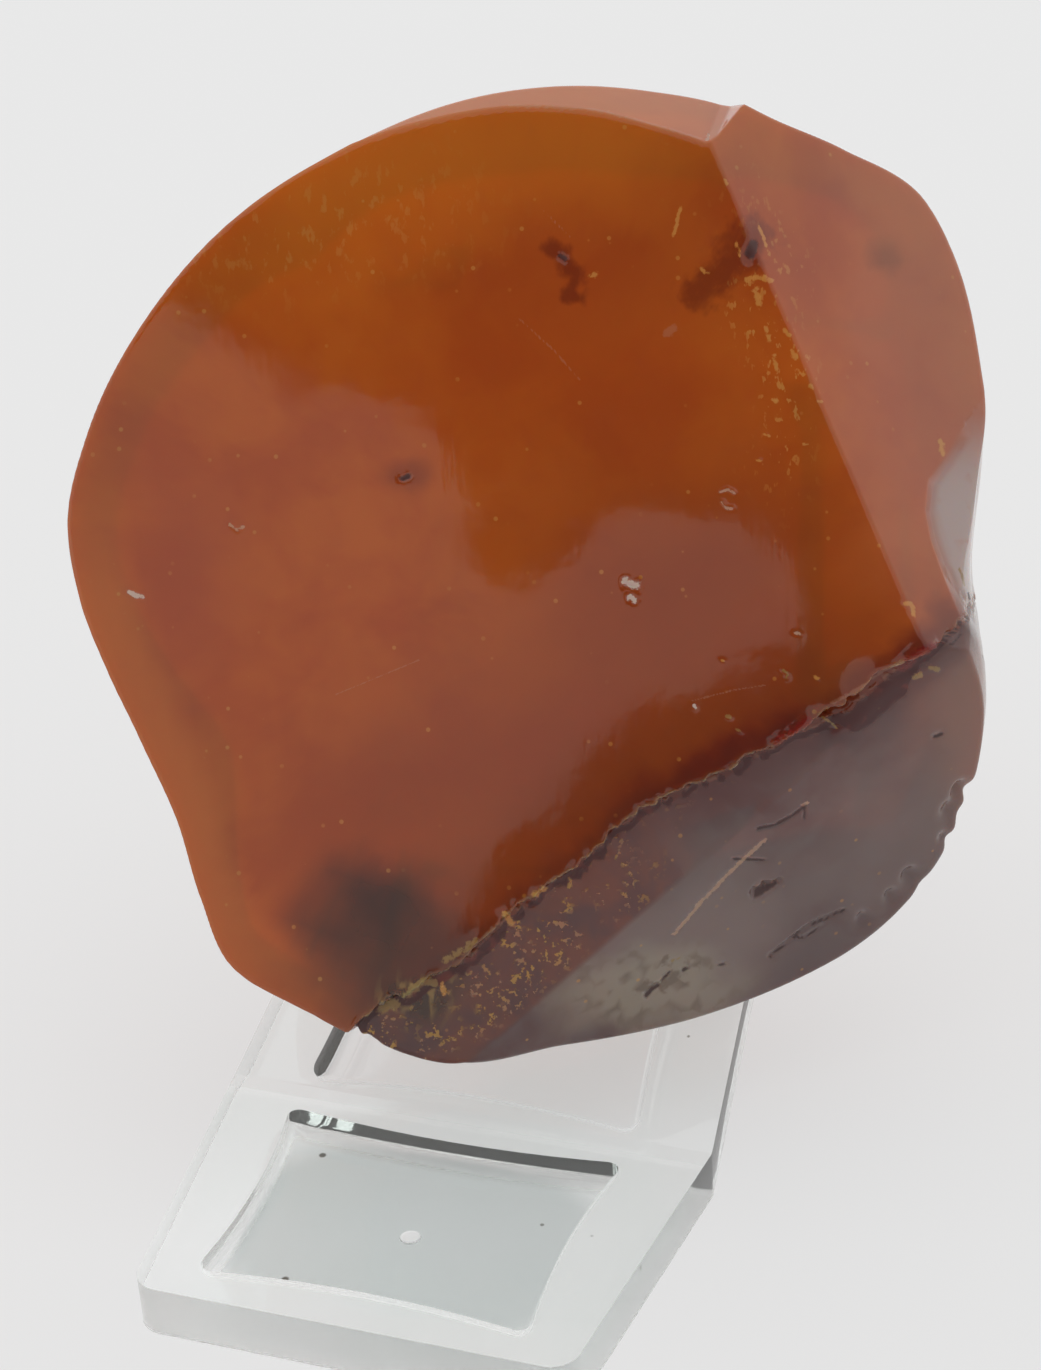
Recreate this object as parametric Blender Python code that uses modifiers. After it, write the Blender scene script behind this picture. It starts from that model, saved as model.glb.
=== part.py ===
"""A polished amber nugget resting on a clear moulded display stand.

The stand is one bent plate: a level foot on the table, a tray that rises behind it, a back
rest, and a rear leg. The nugget is one closed body. It is a stone-shaped blank cut by flat
polished facets, with a stepped crack, a scoop and a few pits.

World axes: +X to the stand's right, +Y to its back, +Z up. The origin is on the table, under
the middle of the foot. Sizes below are in millimetres, measured from the crease between the
foot and the tray, which stands a little behind the origin.
"""

import math

import bmesh
import bpy
import numpy as np
from mathutils import Matrix, Vector

MM = 0.001

# Stand: driving sizes in millimetres
PLATE = 4.6                 # height of the foot plate above the table
WALL = 4.4                  # thickness of the tray, back rest and leg
HALF_WIDTH_CREASE = 22.0
HALF_WIDTH_FRONT = 18.4
HALF_WIDTH_REAR = 19.4
HALF_WIDTH_TOP = 15.5
TOP_CORNER_RADIUS = 6.0
FOOT_DEPTH = 28.5           # from the crease to the front edge
CREASE_BACK = 14.2          # from the origin, under the foot's middle, to the crease
TRAY_RISE = 21.8            # degrees
TRAY_REACH = 39.4           # horizontal, from the crease to the back rest
REST_LEAN = 63.5            # degrees from the table
REST_TOP = 52.0             # height of the back rest's top
LEG_SPREAD = 7.0            # how far the leg's foot stands behind the back rest's root
LEG_FOOT = 4.6              # thickness of the leg where it stands
LEG_ROOT = 5.1              # thickness of the leg where it meets the back rest
LEG_START = 0.5             # how far in front of the back rest's root the leg begins
CORNER_RADIUS = 2.4
EDGE_ROUND = 1.0
SHARP_ANGLE = 35.0          # degrees; edges that turn more than this are rounded off

# Stand: moulded recesses in millimetres
RECESS_DEPTH = 2.5
RECESS_HALF_WIDTH = 15.3
RECESS_TAPER = 0.93         # front end of the foot recess against its rear end
BAR_WIDTH = 3.2             # flat cross bar left in front of the crease
FOOT_RECESS_FRONT = 25.4
TRAY_RECESS_START = 0.7
TRAY_RECESS_END = 35.5
RECESS_COVE = 1.6
RECESS_CORNER = 1.6
GATE_MARK_RADIUS = 0.9
GATE_MARK_TAPER = 0.8       # its top against its foot
GATE_MARK_HEIGHT = 0.25
SPARE = 4.0                 # how far a cutting shape passes the surfaces that it cuts

# Nugget: place and attitude
NUGGET_CENTRE = (-0.42, 23.14, 45.46)
NUGGET_YAW = 19.74          # degrees, about the vertical
NUGGET_LEAN = 24.87         # degrees, leaning back
FRONT_DEPTH = 28.0          # half depth of the blank in front of its outline plane
BACK_DEPTH = 22.5
FRONT_POWER = 2.4
BACK_POWER = 2.3

# Nugget: distance in millimetres from the middle to the outline, at each angle in degrees
OUTLINE = (
    (0, 37.8), (20, 42.4), (40, 46.8), (60, 43.8), (80, 41.8), (100, 40.4), (120, 39.0),
    (140, 39.2), (160, 39.4), (180, 38.7), (200, 35.6), (212, 36.4), (222, 39.1), (230, 42.8),
    (240, 41.8), (260, 42.7), (272, 40.5), (290, 41.3), (310, 43.7), (322, 43.7), (340, 40.9),
    (350, 38.0),
)

# Nugget: main polished face, as tilt, direction of tilt and distance from the middle
FACE_TILT = 4.0
FACE_TILT_TOWARDS = 220.0
FACE_DISTANCE = 15.0
FACE_ROUNDING = 0.8

# Nugget: facets that start from a ridge on the main face, as (across, up) in millimetres
# of the ridge's two ends, the tilt away from the main face, and the ridge's rounding
RIGHT_FACET = ((16.8, 33.5), (29.4, -6.8), 40.0, 0.5)
LOWER_STRIP = ((-13.7, -35.0), (8.4, -19.6), 9.0, 0.5)
STRIP_DROP = 0.8            # how far the strip lies below the crack's upper lip

# Nugget: free facets, as direction in the outline plane, tilt from the front, distance
# from the middle and rounding
LOWER_FACET = (303.0, 39.5, 27.5, 0.8)
BACK_FACETS = (
    (70.0, 172.0, 19.5, 4.0),
    (160.0, 148.0, 25.5, 4.0),
    (15.0, 142.0, 31.0, 4.0),
    (255.0, 146.0, 25.0, 4.0),
    (100.0, 138.0, 29.0, 5.0),
)

# Nugget: the crack along the foot of the main face, as (across, up) in millimetres, from
# its right end. The strip and the lower facet start below it
CRACK = (
    (42.0, -2.4), (35.2, -5.6), (30.1, -9.3), (25.9, -12.3), (20.9, -14.1), (13.4, -17.8),
    (8.4, -19.6), (4.1, -23.5), (-1.8, -27.3), (-6.1, -31.2), (-13.7, -35.0), (-20.0, -40.0),
)
LEDGE_WIDTH = 1.1           # across the crack, from the upper lip to the lower side

# Nugget: hollows and swellings, as (across, up, towards the front), spread and depth
HOLLOWS = (
    ((36.8, 1.5, 0.0), 4.6, 2.6),
    ((29.0, -10.6, 14.6), 2.8, 1.0),
    ((24.5, -13.6, 14.6), 2.2, 0.7),
    ((12.0, 24.5, 16.0), 2.4, 0.7),
    ((1.5, 26.0, 16.0), 1.8, 0.5),
    ((14.5, 4.5, 16.0), 1.2, 0.35),
    ((-12.0, 15.0, 15.0), 9.0, 0.35),
    ((-19.0, -16.0, 13.0), 10.0, -0.5),
    ((8.0, -4.0, 15.0), 9.0, -0.4),
    ((-22.0, 20.0, 13.0), 8.0, -0.4),
    ((10.0, 12.0, -19.0), 9.0, 1.4),
    ((-20.0, -8.0, -15.0), 8.0, 1.2),
    ((20.0, -20.0, -12.0), 7.0, 1.0),
    ((-8.0, 30.0, -12.0), 6.0, 1.1),
)

# Nugget: flat that it rests on, parallel to the tray's rails
REST_GAP = 0.35
REST_ROUNDING = 2.5

# Nugget: mesh fineness
SPHERE_LEVEL = 5
FINE_BAND = 4.6             # finer mesh within this distance of the crack, in millimetres
FINE_CUTS = 2
SNAP_ABOVE = 0.5            # points this near above the crack's line are moved onto it
SNAP_BELOW = 1.6            # and those this near below it onto the line or the ledge's foot
FACET_ANGLE = 28.0          # degrees; sharper edges between facets are shown sharp
FAR = 1.0e3


def clear_scene():
    for obj in list(bpy.data.objects):
        bpy.data.objects.remove(obj, do_unlink=True)


def new_collection(name):
    collection = bpy.data.collections.new(name)
    bpy.context.scene.collection.children.link(collection)
    return collection


def new_material(name, colour, roughness, transmission, ior):
    material = bpy.data.materials.new(name)
    material.use_nodes = True
    shader = material.node_tree.nodes["Principled BSDF"]
    shader.inputs["Base Color"].default_value = (*colour, 1.0)
    shader.inputs["Roughness"].default_value = roughness
    shader.inputs["Metallic"].default_value = 0.0
    shader.inputs["Transmission Weight"].default_value = transmission
    shader.inputs["IOR"].default_value = ior
    return material


def crease_empty(collection):
    """Empty at the crease. Everything hangs on it, so all places count from there."""
    empty = bpy.data.objects.new("crease", None)
    empty.location = (0.0, CREASE_BACK * MM, 0.0)
    collection.objects.link(empty)
    return empty


def mesh_object(name, bm, collection):
    mesh = bpy.data.meshes.new(name)
    bm.to_mesh(mesh)
    bm.free()
    obj = bpy.data.objects.new(name, mesh)
    obj.parent = bpy.data.objects["crease"]
    collection.objects.link(obj)
    return obj


def prism_from_outline(name, points, half_depth, collection):
    """Closed prism of a flat outline: a filled 2D curve, extruded both ways along its Z."""
    curve = bpy.data.curves.new(name, "CURVE")
    curve.dimensions = "2D"
    curve.fill_mode = "BOTH"
    curve.extrude = half_depth * MM
    spline = curve.splines.new("POLY")
    spline.points.add(len(points) - 1)
    for point, (x, y) in zip(spline.points, points):
        point.co = (x * MM, y * MM, 0.0, 1.0)
    spline.use_cyclic_u = True
    holder = bpy.data.objects.new(name, curve)
    collection.objects.link(holder)
    bpy.context.view_layer.update()
    evaluated = holder.evaluated_get(bpy.context.evaluated_depsgraph_get())
    mesh = bpy.data.meshes.new_from_object(evaluated)
    bpy.data.objects.remove(holder, do_unlink=True)
    bm = bmesh.new()
    bm.from_mesh(mesh)
    bpy.data.meshes.remove(mesh)
    bmesh.ops.remove_doubles(bm, verts=bm.verts, dist=0.01 * MM)
    bmesh.ops.recalc_face_normals(bm, faces=bm.faces)
    return mesh_object(name, bm, collection)


def round_corners(points, radius, steps):
    """The outline with each corner replaced by an arc of the given radius."""
    rounded = []
    count = len(points)
    for i in range(count):
        corner = Vector(points[i])
        before = (Vector(points[i - 1]) - corner).normalized()
        after = (Vector(points[(i + 1) % count]) - corner).normalized()
        half_angle = before.angle(after) / 2.0
        reach = radius / math.tan(half_angle)
        centre = corner + (before + after).normalized() * radius / math.sin(half_angle)
        start = corner + before * reach - centre
        end = corner + after * reach - centre
        for step in range(steps + 1):
            arm = start.lerp(end, step / steps).normalized() * radius
            rounded.append(tuple(centre + arm))
    return rounded


def stand_profile():
    """Side view of the bent plate as (back, up) points, anticlockwise seen from the left."""
    rise = math.tan(math.radians(TRAY_RISE))
    lean = math.radians(REST_LEAN)
    root_top = (TRAY_REACH, PLATE + TRAY_REACH * rise)
    run = (REST_TOP - root_top[1]) / math.tan(lean)
    top_front = (TRAY_REACH + run, REST_TOP)
    top_back = (top_front[0] + WALL * math.sin(lean), REST_TOP - WALL * math.cos(lean))
    under = PLATE - WALL / math.cos(math.radians(TRAY_RISE))
    crease_under = (-under / rise, 0.0)
    leg_root = TRAY_REACH - LEG_START
    leg_inner_top = (leg_root, under + leg_root * rise)
    leg_inner_foot = (TRAY_REACH + LEG_SPREAD, 0.0)
    leg_outer_foot = (leg_inner_foot[0] + LEG_FOOT, 0.0)
    leg_outer_top = (root_top[0] + LEG_ROOT, root_top[1])
    return [
        (-FOOT_DEPTH, 0.0), crease_under, leg_inner_top, leg_inner_foot, leg_outer_foot,
        leg_outer_top, top_back, top_front, root_top, (0.0, PLATE), (-FOOT_DEPTH, PLATE),
    ]


def stand_plan():
    """Top view of the stand as (across, back) points: widest at the crease."""
    rear = TRAY_REACH + WALL
    back = rear + REST_TOP
    right = [
        (HALF_WIDTH_FRONT, -FOOT_DEPTH), (HALF_WIDTH_CREASE, 0.0), (HALF_WIDTH_REAR, rear),
        (HALF_WIDTH_REAR, back),
    ]
    left = [(-x, y) for x, y in reversed(right)]
    return right + left


def stand_face():
    """Front view of the stand as (across, up) points: straight sides, then a narrowing rest."""
    shoulder = PLATE + TRAY_REACH * math.tan(math.radians(TRAY_RISE))
    wide = HALF_WIDTH_CREASE + SPARE
    right = [
        (wide, -SPARE), (wide, shoulder / 2.0), (HALF_WIDTH_REAR, shoulder),
        (HALF_WIDTH_TOP, REST_TOP),
    ]
    left = [(-x, y) for x, y in reversed(right)]
    return right + left


def recess_cutter(name, half_rear, half_front, front, rear, collection):
    """Tapered block with rounded walls, in the frame of the surface that it sinks into."""
    outline = [(-half_front, front), (half_front, front), (half_rear, rear), (-half_rear, rear)]
    rounded = round_corners(outline, RECESS_CORNER, 4)
    cutter = prism_from_outline(name, rounded, SPARE, collection)
    bevel = cutter.modifiers.new("Cove", "BEVEL")
    bevel.width = RECESS_COVE * MM
    bevel.segments = 4
    bevel.limit_method = "ANGLE"
    bevel.angle_limit = math.radians(60.0)
    cutter.display_type = "WIRE"
    cutter.hide_render = True
    return cutter


def cut(target, cutter, operation):
    modifier = target.modifiers.new(cutter.name, "BOOLEAN")
    modifier.operation = operation
    modifier.solver = "EXACT"
    modifier.object = cutter


def make_stand(parts, cutters):
    profile = stand_profile()
    stand = prism_from_outline("display_stand", profile, HALF_WIDTH_CREASE + SPARE, parts)
    # The profile is drawn flat: its across axis becomes +Y and its up axis becomes +Z
    stand.data.transform(Matrix(((0, 0, 1, 0), (1, 0, 0, 0), (0, 1, 0, 0), (0, 0, 0, 1))))

    plan_outline = round_corners(stand_plan(), CORNER_RADIUS, 5)
    plan = prism_from_outline("plan_outline", plan_outline, REST_TOP + SPARE, cutters)
    plan.display_type = "WIRE"
    plan.hide_render = True
    cut(stand, plan, "INTERSECT")

    face_outline = round_corners(stand_face(), TOP_CORNER_RADIUS, 6)
    half_length = TRAY_REACH + REST_TOP
    face = prism_from_outline("face_outline", face_outline, half_length, cutters)
    face.rotation_euler = (math.radians(90.0), 0.0, 0.0)
    face.display_type = "WIRE"
    face.hide_render = True
    cut(stand, face, "INTERSECT")

    rounding = stand.modifiers.new("Rounded edges", "BEVEL")
    rounding.width = EDGE_ROUND * MM
    rounding.segments = 3
    rounding.limit_method = "ANGLE"
    rounding.angle_limit = math.radians(SHARP_ANGLE)

    foot_recess = recess_cutter(
        "foot_recess", RECESS_HALF_WIDTH, RECESS_HALF_WIDTH * RECESS_TAPER,
        -FOOT_RECESS_FRONT, -BAR_WIDTH, cutters)
    foot_recess.location = (0.0, 0.0, (PLATE - RECESS_DEPTH + SPARE) * MM)
    cut(stand, foot_recess, "DIFFERENCE")

    tilt = math.radians(TRAY_RISE)
    tray_recess = recess_cutter(
        "tray_recess", RECESS_HALF_WIDTH, RECESS_HALF_WIDTH,
        TRAY_RECESS_START, TRAY_RECESS_END, cutters)
    lift = SPARE - RECESS_DEPTH
    tray_recess.rotation_euler = (tilt, 0.0, 0.0)
    tray_recess.location = (
        0.0, -math.sin(tilt) * lift * MM, (PLATE + math.cos(tilt) * lift) * MM)
    cut(stand, tray_recess, "DIFFERENCE")

    # A short cone, half sunk in the recess's floor
    gate_bm = bmesh.new()
    bmesh.ops.create_cone(
        gate_bm, cap_ends=True, segments=20, radius1=GATE_MARK_RADIUS * MM,
        radius2=GATE_MARK_RADIUS * GATE_MARK_TAPER * MM, depth=2.0 * GATE_MARK_HEIGHT * MM)
    gate = mesh_object("gate_mark", gate_bm, cutters)
    gate.location = (0.0, -CREASE_BACK * MM, (PLATE - RECESS_DEPTH) * MM)
    gate.display_type = "WIRE"
    gate.hide_render = True
    cut(stand, gate, "UNION")

    stand.data.shade_smooth()
    stand.data.set_sharp_from_angle(angle=math.radians(SHARP_ANGLE))
    stand.data.materials.append(
        new_material("clear_plastic", (0.93, 0.95, 0.94), 0.05, 0.9, 1.50))
    return stand


def outline_radius(angle):
    """Smooth closed curve through the outline's points, for an array of angles."""
    known = np.radians([a for a, _ in OUTLINE])
    radius = np.array([r for _, r in OUTLINE])
    turn = 2.0 * math.pi
    angle = np.mod(angle, turn)
    count = len(known)
    after = np.searchsorted(known, angle, side="right") % count
    before = (after - 1) % count
    step = np.mod(known[after] - known[before], turn)
    part = np.mod(angle - known[before], turn) / step
    span_before = np.mod(known[before] - known[(before - 1) % count], turn)
    span_after = np.mod(known[(after + 1) % count] - known[after], turn)
    slope0 = (radius[after] - radius[(before - 1) % count]) / (step + span_before)
    slope1 = (radius[(after + 1) % count] - radius[before]) / (step + span_after)
    h00 = 2 * part**3 - 3 * part**2 + 1
    h10 = part**3 - 2 * part**2 + part
    h01 = -2 * part**3 + 3 * part**2
    h11 = part**3 - part**2
    return (h00 * radius[before] + h10 * step * slope0
            + h01 * radius[after] + h11 * step * slope1)


def direction(azimuth, tilt):
    """Unit vector: tilt from the front, towards an azimuth in the outline plane."""
    azimuth = math.radians(azimuth)
    tilt = math.radians(tilt)
    return np.array([
        math.cos(azimuth) * math.sin(tilt), math.sin(azimuth) * math.sin(tilt), math.cos(tilt)])


def main_face():
    normal = direction(FACE_TILT_TOWARDS, FACE_TILT)
    return normal, FACE_DISTANCE


def on_main_face(point):
    normal, distance = main_face()
    depth = (distance - normal[0] * point[0] - normal[1] * point[1]) / normal[2]
    return np.array([point[0], point[1], depth])


def facet_from_ridge(start, end, tilt):
    """Plane that leaves the main face along a ridge, tilted away from the middle."""
    face_normal, _ = main_face()
    first = on_main_face(start)
    along = on_main_face(end) - first
    along /= np.linalg.norm(along)
    away = np.cross(face_normal, along)
    if np.dot(away, first) < 0.0:
        away = -away
    angle = math.radians(tilt)
    normal = math.cos(angle) * face_normal + math.sin(angle) * away
    return normal, float(np.dot(normal, first))


def plane_reach(directions, normal, distance):
    """Distance from the middle to a plane along each direction."""
    facing = directions @ normal
    return np.where(facing > 1.0e-3, distance / np.maximum(facing, 1.0e-3), FAR)


def blend_lower(first, second, rounding):
    """The lower of two distances, rounded where they cross."""
    overlap = np.maximum(rounding - np.abs(first - second), 0.0) / rounding
    return np.minimum(first, second) - overlap * overlap * rounding / 4.0


def distance_to_crack(across, up):
    """Distance below the crack's line, negative above it, and the place along it, 0 to 1."""
    best = np.full(across.shape, FAR)
    side = np.zeros(across.shape)
    place = np.zeros(across.shape)
    pieces = len(CRACK) - 1
    for i in range(pieces):
        start = np.array(CRACK[i])
        run = np.array(CRACK[i + 1]) - start
        off_across, off_up = across - start[0], up - start[1]
        part = np.clip((off_across * run[0] + off_up * run[1]) / np.dot(run, run), 0.0, 1.0)
        gap = np.hypot(off_across - part * run[0], off_up - part * run[1])
        nearer = gap < best
        best = np.where(nearer, gap, best)
        side = np.where(nearer, np.sign(run[0] * off_up - run[1] * off_across), side)
        place = np.where(nearer, (i + part) / pieces, place)
    return best * side, place


def attitude():
    """Rotation from the outline axes (across, up, towards the front) to the world."""
    upright = Matrix(((1, 0, 0), (0, 0, -1), (0, 1, 0)))
    lean = Matrix.Rotation(math.radians(-NUGGET_LEAN), 3, "X")
    yaw = Matrix.Rotation(math.radians(NUGGET_YAW), 3, "Z")
    return yaw @ lean @ upright


def resting_flat():
    """The tray's rail plane, seen from the nugget's middle in its own axes."""
    tilt = math.radians(TRAY_RISE)
    outward = Vector((0.0, math.sin(tilt), -math.cos(tilt)))
    crease = Vector((0.0, 0.0, PLATE))
    distance = (crease - Vector(NUGGET_CENTRE)).dot(outward) - REST_GAP
    return np.array(attitude().transposed() @ outward), distance


def blank_reach(directions):
    """Distance to the rounded blank, before any facet is cut."""
    across, up, front = directions[:, 0], directions[:, 1], directions[:, 2]
    flat = np.hypot(across, up) / outline_radius(np.arctan2(up, across))
    ahead = flat**FRONT_POWER + (np.abs(front) / FRONT_DEPTH)**FRONT_POWER
    behind = flat**BACK_POWER + (np.abs(front) / BACK_DEPTH)**BACK_POWER
    return np.where(front >= 0.0, ahead**(-1.0 / FRONT_POWER), behind**(-1.0 / BACK_POWER))


def upper_planes():
    """Facets that cut the whole nugget: normal, distance from the middle, rounding."""
    start, end, tilt, rounding = RIGHT_FACET
    planes = [
        (*main_face(), FACE_ROUNDING),
        (*facet_from_ridge(start, end, tilt), rounding),
        (*resting_flat(), REST_ROUNDING),
    ]
    for azimuth, tilt, distance, rounding in BACK_FACETS:
        planes.append((direction(azimuth, tilt), distance, rounding))
    return planes


def lower_planes():
    """Facets that cut only the side below the crack."""
    start, end, tilt, rounding = LOWER_STRIP
    normal, distance = facet_from_ridge(start, end, tilt)
    azimuth, steepness, reach, softness = LOWER_FACET
    return [
        (normal, distance - STRIP_DROP, rounding),
        (direction(azimuth, steepness), reach, softness),
    ]


def upper_reach(directions):
    """Distance to the surface above the crack, as if it went on below it too."""
    reach = blank_reach(directions)
    for normal, distance, rounding in upper_planes():
        reach = blend_lower(reach, plane_reach(directions, normal, distance), rounding)
    return reach


def nugget_reach(directions):
    """Distance from the nugget's middle to its surface along each unit direction."""
    upper = upper_reach(directions)
    lower = upper
    for normal, distance, rounding in lower_planes():
        lower = blend_lower(lower, plane_reach(directions, normal, distance), rounding)

    points = directions * upper[:, None]
    below, _ = distance_to_crack(points[:, 0], points[:, 1])
    reach = upper + (lower - upper) * np.clip(below / LEDGE_WIDTH, 0.0, 1.0)
    points = directions * reach[:, None]
    for place, spread, depth in HOLLOWS:
        gap = np.linalg.norm(points - np.array(place), axis=1)
        reach = reach - depth * np.exp(-(gap / spread)**2)
    return reach


def unit_directions(bm):
    places = np.array([vert.co[:] for vert in bm.verts])
    return places / np.linalg.norm(places, axis=1)[:, None]


def snap_to_ridges(bm):
    """Slide points along their edges onto the ridges where one facet gives way to another."""
    directions = unit_directions(bm)
    reaches = [blank_reach(directions)]
    for normal, distance, _ in upper_planes():
        reaches.append(plane_reach(directions, normal, distance))
    points = directions * np.min(reaches, axis=0)[:, None]
    below, _ = distance_to_crack(points[:, 0], points[:, 1])
    for normal, distance, _ in lower_planes():
        facet = plane_reach(directions, normal, distance)
        reaches.append(np.where(below > LEDGE_WIDTH, facet, FAR))
    reaches = np.array(reaches)
    owner = reaches.argmin(axis=0)

    moves = {}
    bm.verts.index_update()
    for edge in bm.edges:
        a, b = edge.verts
        i, j = owner[a.index], owner[b.index]
        crosses_ledge = (below[a.index] > LEDGE_WIDTH) != (below[b.index] > LEDGE_WIDTH)
        if i == j or crosses_ledge:
            continue
        gap_a = reaches[i, a.index] - reaches[j, a.index]
        gap_b = reaches[i, b.index] - reaches[j, b.index]
        part = gap_a / (gap_a - gap_b)
        vert, share = (a, part) if part < 0.5 else (b, 1.0 - part)
        if vert not in moves or share < moves[vert][0]:
            moves[vert] = (share, a.co.lerp(b.co, part))
    for vert, (_, place) in moves.items():
        vert.co = place.normalized()


def snap_to_crack(bm):
    """Move the points beside the crack onto its line, or onto the foot of its ledge."""
    directions = unit_directions(bm)
    points = directions * upper_reach(directions)[:, None]
    below, place = distance_to_crack(points[:, 0], points[:, 1])
    line = np.array(CRACK)
    pieces = len(line) - 1
    for vert, point, gap, along in zip(bm.verts, points, below, place):
        if not -SNAP_ABOVE < gap < SNAP_BELOW or point[2] < 0.0:
            continue
        piece = min(int(along * pieces), pieces - 1)
        run = line[piece + 1] - line[piece]
        spot = line[piece] + (along * pieces - piece) * run
        if gap > LEDGE_WIDTH / 2.0:
            spot = spot + LEDGE_WIDTH * np.array([-run[1], run[0]]) / np.hypot(*run)
        vert.co = Vector((spot[0], spot[1], point[2])).normalized()


def make_nugget(parts):
    bm = bmesh.new()
    bmesh.ops.create_icosphere(bm, subdivisions=SPHERE_LEVEL, radius=1.0)
    snap_to_ridges(bm)

    # Finer mesh along the crack, so that its step shows
    directions = unit_directions(bm)
    points = directions * nugget_reach(directions)[:, None]
    below, _ = distance_to_crack(points[:, 0], points[:, 1])
    near = (np.abs(below) < FINE_BAND) & (points[:, 2] > 0.0)
    edges = [e for e in bm.edges if near[e.verts[0].index] and near[e.verts[1].index]]
    bmesh.ops.subdivide_edges(bm, edges=edges, cuts=FINE_CUTS, use_grid_fill=True)
    bmesh.ops.triangulate(bm, faces=bm.faces)
    snap_to_ridges(bm)
    snap_to_crack(bm)

    directions = unit_directions(bm)
    reach = nugget_reach(directions)
    for vert, way, length in zip(bm.verts, directions, reach):
        vert.co = Vector(way * length * MM)
    bmesh.ops.transform(bm, matrix=attitude().to_4x4(), verts=bm.verts)
    bmesh.ops.recalc_face_normals(bm, faces=bm.faces)
    nugget = mesh_object("amber_nugget", bm, parts)
    nugget.location = [c * MM for c in NUGGET_CENTRE]
    nugget.data.shade_smooth()
    nugget.data.set_sharp_from_angle(angle=math.radians(FACET_ANGLE))
    nugget.data.materials.append(new_material("amber", (0.30, 0.066, 0.010), 0.16, 0.35, 1.54))
    return nugget


def main():
    clear_scene()
    parts = new_collection("amber_nugget")
    cutters = new_collection("cutters")
    crease_empty(parts)
    make_stand(parts, cutters)
    make_nugget(parts)


main()
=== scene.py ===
"""Looks of the polished amber nugget and its clear display stand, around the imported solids.

The nugget is one fine mesh in its own axes: x across, y up and z towards the front of its
main face, all in millimetres until it is scaled down and set in place. The stand is one
fine mesh too. Both follow the same driving sizes as the solids.
"""

import math

import bmesh
import bpy
import numpy as np
from mathutils import Matrix, Vector, noise


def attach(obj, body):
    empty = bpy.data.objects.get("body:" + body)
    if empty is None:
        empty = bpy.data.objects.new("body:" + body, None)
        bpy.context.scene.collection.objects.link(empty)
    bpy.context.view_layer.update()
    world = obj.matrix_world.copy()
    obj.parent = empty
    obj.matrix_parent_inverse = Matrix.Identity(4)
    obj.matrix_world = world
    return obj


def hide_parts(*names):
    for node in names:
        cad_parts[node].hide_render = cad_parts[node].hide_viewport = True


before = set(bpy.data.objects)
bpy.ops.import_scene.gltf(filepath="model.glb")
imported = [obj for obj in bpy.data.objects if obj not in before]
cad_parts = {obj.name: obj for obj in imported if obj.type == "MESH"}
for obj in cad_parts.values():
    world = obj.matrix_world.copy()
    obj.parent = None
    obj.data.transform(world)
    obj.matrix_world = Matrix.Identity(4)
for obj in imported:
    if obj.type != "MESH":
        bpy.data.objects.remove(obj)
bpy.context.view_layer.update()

MM = 0.001

# Stand, in millimetres from the crease between its foot and its tray
PLATE = 4.6
WALL = 4.4
HALF_WIDTH_CREASE = 22.0
HALF_WIDTH_FRONT = 18.4
HALF_WIDTH_REAR = 19.4
HALF_WIDTH_TOP = 15.5
TOP_CORNER_RADIUS = 6.0
FOOT_DEPTH = 28.5
CREASE_BACK = 14.2
TRAY_RISE = 21.8
TRAY_REACH = 39.4
REST_LEAN = 63.5
REST_TOP = 52.0
LEG_SPREAD = 7.0
LEG_FOOT = 4.6
LEG_ROOT = 5.1
LEG_START = 0.5
CORNER_RADIUS = 2.4
EDGE_ROUND = 1.0
SHARP_ANGLE = 35.0
RECESS_DEPTH = 2.5
RECESS_HALF_WIDTH = 15.3
RECESS_TAPER = 0.93
RECESS_BOW = 1.1            # how far the middle of each recess side bows inwards
BAR_WIDTH = 3.2
FOOT_RECESS_FRONT = 25.4
TRAY_RECESS_START = 0.7
TRAY_RECESS_END = 35.5
RECESS_COVE = 1.9
GATE_MARK_RADIUS = 0.9
GATE_MARK_HEIGHT = 0.25
SPARE = 4.0

# Nugget: place, attitude and blank
NUGGET_CENTRE = (-0.42, 23.14, 45.46)
NUGGET_YAW = 19.74
NUGGET_LEAN = 24.87
FRONT_DEPTH = 28.0
BACK_DEPTH = 22.5
BACK_POWER = 2.3
# Squareness of the rim in front of the outline plane, at angles in degrees
FRONT_POWERS = (
    (0, 2.4), (35, 2.6), (50, 4.5), (60, 10.0), (240, 10.0), (248, 6.0), (260, 3.2),
    (290, 2.6), (360, 2.4),
)
OUTLINE = (
    (0, 39.2), (20, 42.4), (40, 46.4), (50, 44.2), (58, 42.4), (65, 41.8), (72, 40.9),
    (84, 39.7), (97, 38.5),
    (106, 37.6), (114, 37.2), (125, 37.2), (140, 37.15), (160, 37.6), (170, 37.8), (180, 36.7),
    (190, 35.3),
    (200, 34.55), (212, 35.15), (222, 37.9), (230, 40.55), (240, 40.5), (250, 41.0), (260, 41.7),
    (272, 40.3), (290, 41.3), (310, 43.7), (322, 43.7), (340, 41.3), (350, 39.6),
)

# Nugget: facets. Distances in millimetres from the middle, angles in degrees
FACE_TILT = 4.0
FACE_TILT_TOWARDS = 220.0
FACE_DISTANCE = 15.0
FACE_ROUNDING = 0.3
RIGHT_FACET = ((16.6, 33.6), (31.2, -5.0), 40.0, 0.25)
LOWER_STRIP = ((-13.7, -35.0), (8.4, -19.6), 9.0, 0.3)
STRIP_DROP = 0.8
LOWER_FACET = (303.0, 39.5, 27.5, 0.3)
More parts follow.
